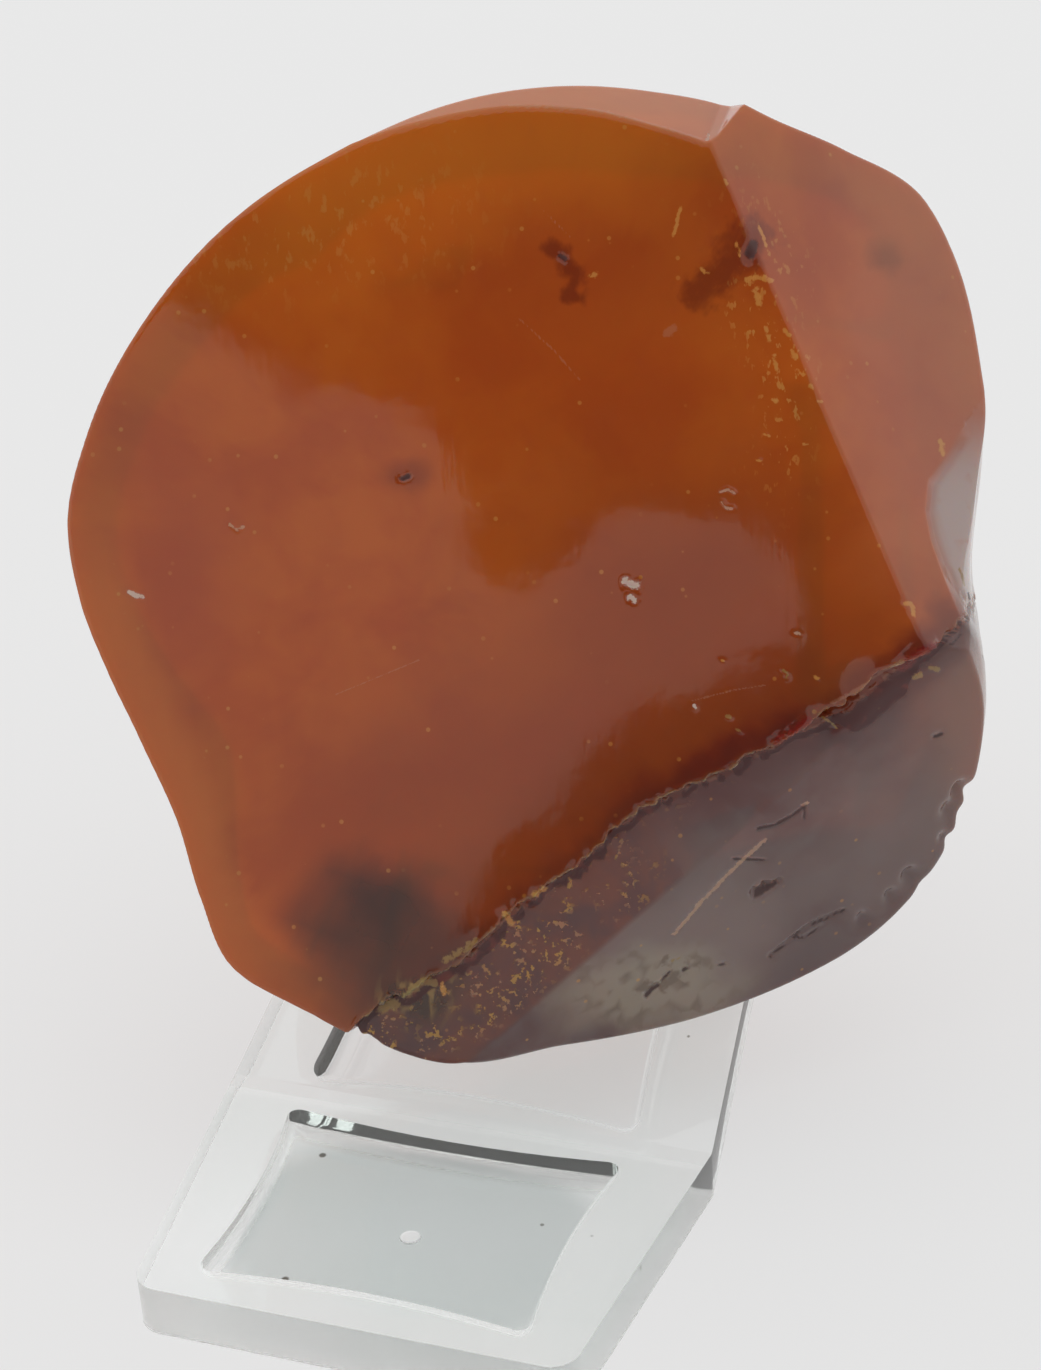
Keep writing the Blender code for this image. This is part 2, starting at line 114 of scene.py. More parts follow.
# Narrow chamfer along the top: angle and distance from the middle of its ridge, and its slope
CHAMFER = (
    (0.0, 60.0), (51.0, 60.0), (58.5, 46.0), (61.8, 40.2), (63.4, 37.9), (64.5, 37.4),
    (72.0, 37.3), (78.6, 37.5),
    (88.3, 37.5), (99.1, 37.3), (108.0, 37.3), (114.0, 38.5), (122.0, 60.0), (360.0, 60.0),
)
CHAMFER_SLOPE = 54.0
CHAMFER_ROUNDING = 0.2
BACK_FACETS = (
    (70.0, 172.0, 19.5, 4.0),
    (160.0, 148.0, 25.5, 4.0),
    (15.0, 142.0, 31.0, 4.0),
    (255.0, 146.0, 25.0, 4.0),
    (100.0, 138.0, 29.0, 5.0),
)
CRACK = (
    (42.0, -2.4), (35.2, -5.6), (30.1, -9.3), (25.9, -12.3), (20.9, -14.1), (13.4, -17.8),
    (8.4, -19.6), (4.1, -23.5), (-1.8, -27.3), (-6.1, -31.2), (-13.7, -35.0), (-20.0, -40.0),
)
LEDGE_WIDTH = 0.6
# Lumps of the crack's ragged line and of the crust under it: size and height in millimetres
CRACK_RAGGED = ((2.6, 0.5), (1.1, 0.34), (0.45, 0.16))
CRUST_LUMPS = ((1.5, 0.16), (0.7, 0.08))
CRUST_SPREAD = 2.6
LIP_WIDTH = 0.35
LIP_HEIGHT = 0.14
LIP_LUMPS = 0.9
# Broad unevenness of the polished front and of the back: height and size
SWELL_FRONT, SWELL_FRONT_SIZE = 0.05, 7.0
SWELL_BACK, SWELL_BACK_SIZE = 0.10, 19.0
# Groove along the crack: place along it from 0 to 1, width and depth in millimetres
GROOVE = (
    (0.00, 0.2, 0.2), (0.09, 0.35, 0.35), (0.16, 0.6, 0.6), (0.185, 1.5, 2.0), (0.22, 2.1, 3.4),
    (0.27, 2.1, 3.2), (0.295, 0.8, 1.0), (0.34, 0.6, 0.7), (0.38, 0.5, 0.6), (0.46, 0.45, 0.5),
    (0.55, 0.6, 0.6), (0.66, 0.6, 0.5), (0.78, 0.6, 0.6), (0.88, 1.1, 0.9), (1.00, 0.4, 0.3),
)
# How strongly the amber darkens above the crack, and turns red, at places along it
SHADE_ALONG = ((0.0, 0.0), (0.2, 0.45), (0.3, 0.9), (0.6, 0.9), (0.72, 0.7), (0.85, 0.5), (1.0, 0.3))
RED_ALONG = ((0.0, 0.3), (0.17, 0.9), (0.3, 0.35), (0.36, 1.0), (0.48, 0.9), (0.6, 0.35), (1.0, 0.1))
GOLD_ALONG = ((0.0, 0.0), (0.5, 0.0), (0.6, 0.35), (0.7, 0.75), (0.82, 1.0), (1.0, 0.7))
STRIP_ALONG = ((0.0, 0.0), (0.46, 0.0), (0.62, 1.0), (1.0, 1.0))
HOLLOWS = (
    ((37.6, 1.5, 0.0), 4.6, 0.6),
    ((29.0, -10.6, 14.6), 2.8, 1.0),
    ((24.5, -13.6, 14.6), 2.2, 0.7),
    ((10.0, 12.0, -19.0), 9.0, 1.4),
    ((-20.0, -8.0, -15.0), 8.0, 1.2),
    ((20.0, -20.0, -12.0), 7.0, 1.0),
    ((-8.0, 30.0, -12.0), 6.0, 1.1),
)
REST_GAP = 0.35
REST_ROUNDING = 2.5
FAR = 1.0e3

# Nugget: small relief and marks on the front, by the channel that colours them. Each has its
# (across, up) points, width and depth in millimetres; a depth below zero stands proud
MARKS = {
    "dark": (
        (((18.2, -27.75), (19.0, -27.4)), 0.42, 0.9), (((19.0, -27.4), (20.1, -26.9)), 0.26, 0.7),
        (((18.2, -21.9), (19.7, -21.7), (21.2, -21.0), (22.2, -20.3)), 0.15, 0.15),
        (((22.2, -20.3), (22.2, -21.3)), 0.13, 0.12),
        (((16.1, -24.4), (17.5, -24.6), (18.9, -24.8)), 0.14, 0.15),
        (((19.5, -33.9), (21.3, -32.5), (23.1, -31.3), (26.1, -30.3)), 0.18, 0.25),
        (((21.3, -32.5), (22.6, -32.4), (24.4, -31.4)), 0.13, 0.15),
        (((-9.5, 8.3), (-9.1, 8.5)), 0.28, 0.2), (((4.1, 25.5), (4.5, 25.2)), 0.24, 0.15),
        (((19.6, 25.4), (19.3, 24.7)), 0.55, 0.3), (((33.5, -15.2), (34.0, -15.0)), 0.22, 0.2),
        (((8.5, -36.2), (9.1, -35.6), (9.5, -35.4)), 0.26, 0.25),
        (((9.9, -34.9), (10.5, -34.3)), 0.16, 0.15), (((11.7, -34.2), (12.2, -34.0)), 0.2, 0.2),
        (((14.9, -34.1), (15.4, -34.1)), 0.14, 0.1), (((36.8, -3.4), (36.9, -3.8)), 0.2, 0.2),
        (((33.8, -7.6), (34.6, -7.3), (35.3, -6.7)), 0.12, 0.15),
    ),
    "maroon": (
        (((3.4, 26.1), (4.2, 25.4), (5.2, 24.0)), 1.0, 0.05),
        (((5.2, 23.6), (4.6, 22.3), (5.6, 22.0)), 0.7, 0.03),
        (((19.4, 26.2), (18.8, 25.0)), 2.2, 0.1),
        (((17.6, 24.0), (16.0, 22.8), (14.9, 21.8)), 1.6, 0.06),
    ),
    "chip": (
        (((30.3, -9.0), (31.4, -8.2), (32.5, -7.4)), 0.6, -0.45),
        (((19.7, -14.7), (21.2, -13.8), (22.4, -13.0)), 0.5, -0.15),
    ),
    "ochre": (
        (((-13.6, -35.4), (-12.6, -35.0)), 0.6, -0.2),
        (((-11.6, -34.2), (-10.2, -33.2), (-9.2, -33.4)), 0.45, -0.25),
        (((-8.2, -31.4), (-6.6, -30.6), (-5.6, -29.8)), 0.35, -0.2),
        (((20.5, -8.8), (20.9, -9.0), (20.8, -9.4)), 0.17, 0.08),
        (((15.8, -12.3), (16.1, -12.4)), 0.17, 0.04), (((16.6, -13.4), (16.9, -13.6)), 0.16, 0.04),
        (((10.6, -33.2), (11.5, -33.0)), 0.12, 0.1),
        (((23.8, -12.9), (24.4, -13.3), (24.9, -13.8)), 0.11, -0.15),
        (((31.4, -9.9), (31.9, -9.7)), 0.3, -0.12), (((32.6, -9.2), (33.3, -9.4)), 0.26, -0.12),
        (((35.9, -1.4), (36.3, -2.6)), 0.2, 0.1),
    ),
    "pale": (
        (((22.0, -20.2), (22.5, -20.0)), 0.16, 0.0),
        (((18.9, -22.9), (17.1, -24.4), (13.5, -27.8), (11.0, -30.7)), 0.22, 0.06),
        (((16.1, 5.9), (16.7, 6.1), (17.2, 5.7)), 0.13, 0.08),
        (((16.2, 5.1), (16.5, 4.6), (17.0, 4.5)), 0.13, 0.08),
        (((21.7, -5.8), (22.0, -5.9)), 0.2, 0.05),
        (((-23.9, 5.4), (-23.3, 4.8), (-22.8, 5.1)), 0.16, 0.06),
        (((16.3, 34.0), (16.5, 34.6)), 0.14, 0.0),
    ),
    "yellow": (
        (((6.4, 23.7), (7.0, 23.8)), 0.2, 0.03),
        (((20.2, 26.9), (20.5, 26.1), (20.7, 25.4)), 0.17, 0.0),
        (((18.2, 25.6), (18.5, 24.6)), 0.16, 0.0), (((15.3, 23.8), (15.9, 23.3)), 0.16, 0.0),
        (((18.9, 22.7), (19.8, 22.9), (20.9, 22.5)), 0.3, 0.0),
        (((19.6, 22.0), (19.9, 20.6)), 0.26, 0.04), (((20.3, 18.9), (20.5, 17.8)), 0.2, 0.03),
        (((20.8, 16.6), (21.1, 15.2)), 0.22, 0.03), (((21.7, 18.6), (22.1, 18.2)), 0.24, 0.04),
        (((22.3, 16.9), (22.6, 16.3)), 0.22, 0.04), (((22.6, 15.3), (23.2, 14.9)), 0.22, 0.03),
        (((20.6, 13.1), (20.9, 12.9)), 0.2, 0.03), (((23.6, 14.0), (23.9, 13.8)), 0.18, 0.03),
        (((24.2, 12.8), (24.5, 12.7)), 0.18, 0.03), (((19.9, 10.3), (20.2, 10.2)), 0.17, 0.03),
        (((22.9, 9.4), (23.2, 9.3)), 0.16, 0.03), (((19.2, 8.3), (19.5, 8.2)), 0.16, 0.03),
        (((-8.6, -33.6), (-8.4, -34.3)), 0.35, -0.2), (((-2.9, -27.8), (-2.6, -28.7)), 0.4, -0.2),
        (((-0.4, -26.2), (0.2, -25.9)), 0.35, -0.1),
        (((13.9, 28.7), (13.6, 27.6), (13.3, 26.6)), 0.2, 0.0),
        (((17.4, 30.7), (17.7, 30.4)), 0.18, 0.0), (((23.1, -9.5), (23.3, -9.6)), 0.2, 0.05),
        (((15.6, -7.7), (15.8, -7.8)), 0.14, 0.03),
        (((30.6, -3.8), (31.1, -3.9), (31.2, -4.7)), 0.24, 0.08),
        (((34.9, 9.3), (35.1, 8.3)), 0.3, 0.0),
    ),
    "white": (
        (((8.2, -1.0), (8.9, -1.3)), 0.45, 0.12), (((8.4, -2.2), (8.8, -2.5)), 0.3, 0.08),
        (((13.2, -11.3), (13.3, -11.5)), 0.17, 0.04), (((-32.4, 0.2), (-31.5, -0.2)), 0.28, 0.05),
    ),
    "faint": (
        (((12.4, 18.8), (13.0, 19.2)), 0.4, 0.0),
        (((0.6, 20.6), (3.2, 18.0), (5.2, 15.5)), 0.07, 0.0),
        (((2.7, 29.4), (5.0, 26.9)), 0.07, 0.0),
        (((13.1, -10.9), (16.4, -10.2), (19.2, -9.9)), 0.08, 0.0),
        (((-16.0, -9.0), (-9.0, -6.5)), 0.06, 0.0),
        # pale line along the top ridge: painted highlight, partly fine wear chips
        (((0.6, 37.6), (7.4, 36.9), (11.5, 35.6), (15.8, 34.1)), 0.16, 0.0),
        (((24.4, -11.6), (26.4, -10.7), (28.6, -9.4), (30.2, -8.5)), 0.2, 0.0),
    ),
}
ALL_MARKS = [mark for marks in MARKS.values() for mark in marks]

# Nugget: chips along the rim, as (across, up), width and depth in millimetres
NICKS = (
    ((36.6, -20.3), 0.8, 1.3),
    ((35.8, -22.2), 1.1, 0.9),
    ((35.3, -24.6), 0.7, 0.7),
    ((32.4, -28.0), 0.9, 1.2),
    ((30.6, -29.6), 0.7, 0.9),
    ((28.0, -31.4), 0.7, 0.7),
    ((-15.2, -38.4), 0.9, 0.9),
    ((-19.8, -36.4), 0.6, 0.5),
)
NICK_LEVEL = 6.0            # height of the chips above the outline plane, and their reach
NICK_TALL = 9.0

# Nugget: scoop at the right edge, behind a line of (across, up) points
SCOOP_EDGE = (
    (36.8, 10.0), (34.8, 7.6), (33.5, 6.2), (33.0, 3.6), (33.3, 1.2), (34.3, -2.2), (35.6, -5.7),
    (37.4, -8.0),
)
SCOOP_DEPTH = 0.9
SCOOP_SLOPE = 1.4           # millimetres from the edge to the full depth
SCOOP_MIDDLE = 1.6
SCOOP_SPAN = 8.4

# Nugget: bright band along the left rim, as a span of angles in degrees and its width
RIM_GLOW_SPAN = (165.0, 180.0, 225.0, 240.0)
RIM_GLOW_WIDTH = 5.0
STRIP_FADE = 0.4

# Nugget: mesh fineness
SPHERE_LEVEL = 7
REFINE_ANGLE = 5.0          # degrees between neighbouring faces that call for a finer mesh
REFINE_ROUNDS = 2
MARK_BAND = 0.7             # finer mesh this near a mark, in millimetres

# Camera, from the photograph: focal length and frame in its pixels, and the eye's place
PHOTO_WIDTH = 1041
PHOTO_HEIGHT = 1370
FOCAL_PIXELS = 2600.0
EYE = (69.03, -156.18, 140.75)
EYE_AZIMUTH = 19.99
EYE_ELEVATION = 27.28
EYE_ROLL = -3.0
SENSOR = 36.0


# Shape of the nugget, as in the solid

def outline_radius(angle):
    """Smooth closed curve through the outline's points, for an array of angles."""
    known = np.radians([a for a, _ in OUTLINE])
    radius = np.array([r for _, r in OUTLINE])
    turn = 2.0 * math.pi
    angle = np.mod(angle, turn)
    count = len(known)
    after = np.searchsorted(known, angle, side="right") % count
    before = (after - 1) % count
    step = np.mod(known[after] - known[before], turn)
    part = np.mod(angle - known[before], turn) / step
    span_before = np.mod(known[before] - known[(before - 1) % count], turn)
    span_after = np.mod(known[(after + 1) % count] - known[after], turn)
    slope0 = (radius[after] - radius[(before - 1) % count]) / (step + span_before)
    slope1 = (radius[(after + 1) % count] - radius[before]) / (step + span_after)
    h00 = 2 * part**3 - 3 * part**2 + 1
    h10 = part**3 - 2 * part**2 + part
    h01 = -2 * part**3 + 3 * part**2
    h11 = part**3 - part**2
    return (h00 * radius[before] + h10 * step * slope0
            + h01 * radius[after] + h11 * step * slope1)


def direction(azimuth, tilt):
    """Unit vector: tilt from the front, towards an azimuth in the outline plane."""
    azimuth = math.radians(azimuth)
    tilt = math.radians(tilt)
    return np.array([
        math.cos(azimuth) * math.sin(tilt), math.sin(azimuth) * math.sin(tilt), math.cos(tilt)])


def on_main_face(point):
    normal = direction(FACE_TILT_TOWARDS, FACE_TILT)
    depth = (FACE_DISTANCE - normal[0] * point[0] - normal[1] * point[1]) / normal[2]
    return np.array([point[0], point[1], depth])


def facet_from_ridge(start, end, tilt):
    """Plane that leaves the main face along a ridge, tilted away from the middle."""
    face_normal = direction(FACE_TILT_TOWARDS, FACE_TILT)
    first = on_main_face(start)
    along = on_main_face(end) - first
    along /= np.linalg.norm(along)
    away = np.cross(face_normal, along)
    if np.dot(away, first) < 0.0:
        away = -away
    angle = math.radians(tilt)
    normal = math.cos(angle) * face_normal + math.sin(angle) * away
    return normal, float(np.dot(normal, first))


def plane_reach(directions, normal, distance):
    """Distance from the middle to a plane along each direction."""
    facing = directions @ normal
    return np.where(facing > 1.0e-3, distance / np.maximum(facing, 1.0e-3), FAR)


def blend_lower(first, second, rounding):
    """The lower of two distances, rounded where they cross."""
    overlap = np.maximum(rounding - np.abs(first - second), 0.0) / rounding
    return np.minimum(first, second) - overlap * overlap * rounding / 4.0


def distance_to_path(points, across, up):
    """Distance to a line of points, the side of it, and the place along it, 0 to 1."""
    best = np.full(across.shape, FAR)
    side = np.zeros(across.shape)
    place = np.zeros(across.shape)
    pieces = len(points) - 1
    for i in range(pieces):
        start = np.array(points[i])
        run = np.array(points[i + 1]) - start
        off_across, off_up = across - start[0], up - start[1]
        part = np.clip((off_across * run[0] + off_up * run[1]) / np.dot(run, run), 0.0, 1.0)
        gap = np.hypot(off_across - part * run[0], off_up - part * run[1])
        nearer = gap < best
        best = np.where(nearer, gap, best)
        side = np.where(nearer, np.sign(run[0] * off_up - run[1] * off_across), side)
        place = np.where(nearer, (i + part) / pieces, place)
    return best, side, place


def attitude():
    """Rotation from the outline axes (across, up, towards the front) to the world."""
    upright = Matrix(((1, 0, 0), (0, 0, -1), (0, 1, 0)))
    lean = Matrix.Rotation(math.radians(-NUGGET_LEAN), 3, "X")
    yaw = Matrix.Rotation(math.radians(NUGGET_YAW), 3, "Z")
    return yaw @ lean @ upright


def resting_flat():
    """The tray's rail plane, seen from the nugget's middle in its own axes."""
    tilt = math.radians(TRAY_RISE)
    outward = Vector((0.0, math.sin(tilt), -math.cos(tilt)))
    crease = Vector((0.0, 0.0, PLATE))
    distance = (crease - Vector(NUGGET_CENTRE)).dot(outward) - REST_GAP
    return np.array(attitude().transposed() @ outward), distance


def blank_reach(directions):
    """Distance to the rounded blank, before any facet is cut."""
    across, up, front = directions[:, 0], directions[:, 1], directions[:, 2]
    angle = np.arctan2(up, across)
    flat = np.hypot(across, up) / outline_radius(angle)
    angles, powers = zip(*FRONT_POWERS)
    power = np.interp(np.degrees(np.mod(angle, 2.0 * math.pi)), angles, powers)
    ahead = flat**power + (np.abs(front) / FRONT_DEPTH)**power
    behind = flat**BACK_POWER + (np.abs(front) / BACK_DEPTH)**BACK_POWER
    return np.where(front >= 0.0, ahead**(-1.0 / power), behind**(-1.0 / BACK_POWER))


def chamfer_reach(directions):
    """Distance to the chamfer, a cone that leaves the main face along its ridge."""
    across, up = directions[:, 0], directions[:, 1]
    flat = np.maximum(np.hypot(across, up), 1.0e-6)
    angles, ridges = zip(*CHAMFER)
    ridge = np.interp(np.degrees(np.mod(np.arctan2(up, across), 2.0 * math.pi)), angles, ridges)
    normal = direction(FACE_TILT_TOWARDS, FACE_TILT)
    level = FACE_DISTANCE - ridge * (normal[0] * across + normal[1] * up) / flat
    slope = math.tan(math.radians(CHAMFER_SLOPE))
    facing = directions[:, 2] + flat * slope
    return np.where(facing > 1.0e-3, (level + ridge * slope) / np.maximum(facing, 1.0e-3), FAR)


def upper_planes():
    start, end, tilt, rounding = RIGHT_FACET
    planes = [
        (direction(FACE_TILT_TOWARDS, FACE_TILT), FACE_DISTANCE, FACE_ROUNDING),
        (*facet_from_ridge(start, end, tilt), rounding),
        (*resting_flat(), REST_ROUNDING),
    ]
    for azimuth, tilt, distance, rounding in BACK_FACETS:
        planes.append((direction(azimuth, tilt), distance, rounding))
    return planes


def lower_planes():
    start, end, tilt, rounding = LOWER_STRIP
    normal, distance = facet_from_ridge(start, end, tilt)
    azimuth, steepness, reach, softness = LOWER_FACET
    return [
        (normal, distance - STRIP_DROP, rounding),
        (direction(azimuth, steepness), reach, softness),
    ]


# Finer relief of the nugget

def noise_at(points, size):
    """Smooth noise, about -1 to 1, with lumps of the given size in millimetres."""
    return np.array([noise.noise(Vector(p)) for p in points / size])


def facing(points):
    """1 on the front of the nugget, fading to 0 behind its outline."""
    return np.clip(points[:, 2] / 3.0 + 1.0, 0.0, 1.0)


def crack_frame(points):
    """Distance below the ragged crack in millimetres, and the place along it."""
    gap, side, place = distance_to_path(CRACK, points[:, 0], points[:, 1])
    ragged = sum(height * noise_at(points, size) for size, height in CRACK_RAGGED)
    return gap * side + ragged, place


def along_crack(place, stations):
    """Values between the stations of a table, one array for each of its columns."""
    places, *columns = zip(*stations)
    return [np.interp(place, places, column) for column in columns]


def groove_share(below, width):
    """1 in the middle of the groove under the crack's upper edge, 0 beside it."""
    return np.exp(-(np.abs(below - width / 2.0) / (width / 2.0))**3)


def scoop_share(points):
    """1 in the scoop at the right edge, 0 elsewhere."""
    gap, side, _ = distance_to_path(SCOOP_EDGE, points[:, 0], points[:, 1])
    beyond = np.clip(gap * side / SCOOP_SLOPE, 0.0, 1.0)
    window = np.exp(-((points[:, 1] - SCOOP_MIDDLE) / SCOOP_SPAN)**4)
    return beyond * window * np.clip((points[:, 2] - 1.0) / 5.0, 0.0, 1.0)


def mark_strength(points, path, width):
    """1 on a mark's line, falling off over its width, with a ragged edge."""
    gap, _, _ = distance_to_path(path, points[:, 0], points[:, 1])
    near = (gap < 4.0 * width) & (points[:, 2] > 0.0)
    strength = np.zeros(len(points))
    ragged = 1.0 + 0.5 * noise_at(points[near], max(width, 0.3) * 1.4)
    strength[near] = np.exp(-(gap[near] / (width * ragged))**2)
    return strength


def nugget_points(directions):
    """Surface points of the nugget along unit directions, with all relief."""
    upper = blank_reach(directions)
    for normal, distance, rounding in upper_planes():
        upper = blend_lower(upper, plane_reach(directions, normal, distance), rounding)
    upper = blend_lower(upper, chamfer_reach(directions), CHAMFER_ROUNDING)
    lower = upper
    for normal, distance, rounding in lower_planes():
        lower = blend_lower(lower, plane_reach(directions, normal, distance), rounding)
    base = directions * upper[:, None]
    below, place = crack_frame(base)
    reach = upper + (lower - upper) * np.clip(below / LEDGE_WIDTH, 0.0, 1.0)
    points = directions * reach[:, None]
    for spot, spread, depth in HOLLOWS:
        gap = np.linalg.norm(points - np.array(spot), axis=1)
        reach = reach - depth * np.exp(-(gap / spread)**2)

    front = facing(points)
    reach = reach + SWELL_FRONT * noise_at(points, SWELL_FRONT_SIZE)
    reach = reach + SWELL_BACK * noise_at(points, SWELL_BACK_SIZE) * (1.0 - front)
    reach = reach - SCOOP_DEPTH * scoop_share(points)
    width, depth = along_crack(place, GROOVE)
    reach = reach - front * depth * groove_share(below, width)
    crust = front * np.exp(-(np.maximum(below - 0.9, 0.0) / CRUST_SPREAD)**2) * (below > 0.3)
    crust = crust * (0.3 + along_crack(place, GOLD_ALONG)[0])
    for size, height in CRUST_LUMPS:
        reach = reach + crust * height * noise_at(points, size)
    lip = front * np.exp(-((below + 0.1) / LIP_WIDTH)**2)
    reach = reach + LIP_HEIGHT * lip * noise_at(points, LIP_LUMPS)
    for spot, width, depth in NICKS:
        gap = np.hypot(points[:, 0] - spot[0], points[:, 1] - spot[1])
        level = np.exp(-((points[:, 2] - NICK_LEVEL) / NICK_TALL)**2)
        reach = reach - depth * level * np.exp(-(gap / width)**2)
    for path, width, depth in ALL_MARKS:
        if depth:
            reach = reach - depth * mark_strength(points, path, width)
    return directions * reach[:, None]


def unit_directions(bm):
    places = np.array([vert.co[:] for vert in bm.verts])
    return places / np.linalg.norm(places, axis=1)[:, None]


def place_verts(bm):
    points = nugget_points(unit_directions(bm))
    for vert, point in zip(bm.verts, points):
        vert.co = point
    return points


def near_marks(points):
    close = np.zeros(len(points), bool)
    for path, width, _ in ALL_MARKS:
        gap, _, _ = distance_to_path(path, points[:, 0], points[:, 1])
        close |= (gap < width + MARK_BAND) & (points[:, 2] > 0.0)
    return close


def nugget_mesh():
    bm = bmesh.new()
    bmesh.ops.create_icosphere(bm, subdivisions=SPHERE_LEVEL, radius=1.0)
    for _ in range(REFINE_ROUNDS):
        points = place_verts(bm)
        close = near_marks(points)
        bm.normal_update()
        limit = math.radians(REFINE_ANGLE)
        coarse = set()
        for edge in bm.edges:
            a, b = edge.verts
            if edge.calc_face_angle(0.0) > limit or (close[a.index] and close[b.index]):
                for face in edge.link_faces:
                    coarse.update(face.edges)
        bmesh.ops.subdivide_edges(bm, edges=list(coarse), cuts=1, use_grid_fill=True)
        bmesh.ops.triangulate(bm, faces=bm.faces)
        bm.verts.index_update()
    place_verts(bm)
    return bm


def add_channel(mesh, name, values):
    channel = mesh.attributes.new(name, "FLOAT", "POINT")
    channel.data.foreach_set("value", values.astype(np.float32))


def add_nugget_channels(mesh):
    """Where the crack, its crust and the marks are, for the material to colour."""
    points = np.array([vert.co[:] for vert in mesh.vertices])
    below, place = crack_frame(points)
    front = facing(points)
    add_channel(mesh, "below", np.clip(below, -12.0, 12.0) * front - 12.0 * (1.0 - front))
    angle = np.arctan2(points[:, 1], points[:, 0])
    inside = outline_radius(angle) - np.hypot(points[:, 0], points[:, 1])
    turned = np.degrees(np.mod(angle, 2.0 * math.pi))
    span = np.interp(turned, RIM_GLOW_SPAN, (0.0, 1.0, 1.0, 0.0), left=0.0, right=0.0)
    glow = np.clip((RIM_GLOW_WIDTH + 1.2 * noise_at(points, 7.0) - inside) / 2.0, 0.0, 1.0)
    add_channel(mesh, "rim_glow", glow * span)
    for name, stations in (("gold", GOLD_ALONG), ("shade", SHADE_ALONG), ("crimson", RED_ALONG)):
        add_channel(mesh, name, along_crack(place, stations)[0] * front)
    add_channel(mesh, "groove", groove_share(below, along_crack(place, GROOVE)[0]) * front)
    add_channel(mesh, "scoop", scoop_share(points))
    directions = points / np.linalg.norm(points, axis=1)[:, None]
    strip, facet = [plane_reach(directions, n, d) for n, d, _ in lower_planes()]
    strip_side = np.clip((facet - strip) / STRIP_FADE + 0.5, 0.0, 1.0)
    add_channel(mesh, "strip", strip_side * along_crack(place, STRIP_ALONG)[0])
    for kind, marks in MARKS.items():
        strength = np.zeros(len(points))
        for path, width, _ in marks:
            strength = np.maximum(strength, mark_strength(points, path, width))
        add_channel(mesh, kind, strength)


def nugget_place():
    """Matrix from the nugget's own axes in millimetres to the world in metres."""
    centre = Vector(NUGGET_CENTRE) + Vector((0.0, CREASE_BACK, 0.0))
    turned = attitude().to_4x4() @ Matrix.Scale(MM, 4)
    return Matrix.Translation(centre * MM) @ turned


def make_nugget(fields, material):
    bm = nugget_mesh()
    mesh = bpy.data.meshes.new("nugget_polished")
    bm.to_mesh(mesh)
    bm.free()
    add_nugget_channels(mesh)
    nugget = bpy.data.objects.new("nugget_polished", mesh)
    bpy.context.scene.collection.objects.link(nugget)
    fields.apply_to(nugget)
    mesh = nugget.data
    mesh.transform(nugget_place())
    mesh.shade_smooth()
    mesh.materials.append(material)
    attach(nugget, "root")
    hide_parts("amber_nugget")
    return nugget


# Shape of the stand, as in the solid, with rounder edges

def mesh_object(name, bm):
    mesh = bpy.data.meshes.new(name)
    bm.to_mesh(mesh)
    bm.free()
    obj = bpy.data.objects.new(name, mesh)
    bpy.context.scene.collection.objects.link(obj)
    return obj


def prism_from_outline(name, points, half_depth):
    """Closed prism of a flat outline in millimetres, extruded both ways along Z."""
    bm = bmesh.new()
    low = [bm.verts.new((x * MM, y * MM, -half_depth * MM)) for x, y in points]
    face = bm.faces.new(low)
    made = bmesh.ops.extrude_face_region(bm, geom=[face])["geom"]
    lift = [item for item in made if isinstance(item, bmesh.types.BMVert)]
    bmesh.ops.translate(bm, verts=lift, vec=(0.0, 0.0, 2.0 * half_depth * MM))
    bmesh.ops.recalc_face_normals(bm, faces=bm.faces)
    return mesh_object(name, bm)


def round_corners(points, radius, steps):
    """The outline with each corner replaced by an arc of the given radius."""
    rounded = []
    count = len(points)
    for i in range(count):
        corner = Vector(points[i])
        before = (Vector(points[i - 1]) - corner).normalized()
        after = (Vector(points[(i + 1) % count]) - corner).normalized()
        half_angle = before.angle(after) / 2.0
        reach = radius / math.tan(half_angle)
        centre = corner + (before + after).normalized() * radius / math.sin(half_angle)
        start = corner + before * reach - centre
        end = corner + after * reach - centre
        for step in range(steps + 1):
            arm = start.lerp(end, step / steps).normalized() * radius
            rounded.append(tuple(centre + arm))
    return rounded


def bow_sides(points, bow, steps):
    """Each side of the outline bent inwards by the given amount at its middle."""
    bent = []
    middle = sum((Vector(p) for p in points), Vector((0.0, 0.0))) / len(points)
    for i in range(len(points)):
        start = Vector(points[i])
        end = Vector(points[(i + 1) % len(points)])
        inward = (middle - (start + end) / 2.0).normalized()
        for step in range(steps):
            part = step / steps
            bent.append(tuple(start.lerp(end, part) + inward * bow * 4.0 * part * (1.0 - part)))
    return bent


def stand_profile():
    """Side view of the bent plate as (back, up) points."""
    rise = math.tan(math.radians(TRAY_RISE))
    lean = math.radians(REST_LEAN)
    root_top = (TRAY_REACH, PLATE + TRAY_REACH * rise)
    run = (REST_TOP - root_top[1]) / math.tan(lean)
    top_front = (TRAY_REACH + run, REST_TOP)
    top_back = (top_front[0] + WALL * math.sin(lean), REST_TOP - WALL * math.cos(lean))
    under = PLATE - WALL / math.cos(math.radians(TRAY_RISE))
    crease_under = (-under / rise, 0.0)
    leg_root = TRAY_REACH - LEG_START
    leg_inner_top = (leg_root, under + leg_root * rise)
    leg_inner_foot = (TRAY_REACH + LEG_SPREAD, 0.0)
    leg_outer_foot = (leg_inner_foot[0] + LEG_FOOT, 0.0)
    leg_outer_top = (root_top[0] + LEG_ROOT, root_top[1])
    return [
        (-FOOT_DEPTH, 0.0), crease_under, leg_inner_top, leg_inner_foot, leg_outer_foot,
        leg_outer_top, top_back, top_front, root_top, (0.0, PLATE), (-FOOT_DEPTH, PLATE),
    ]


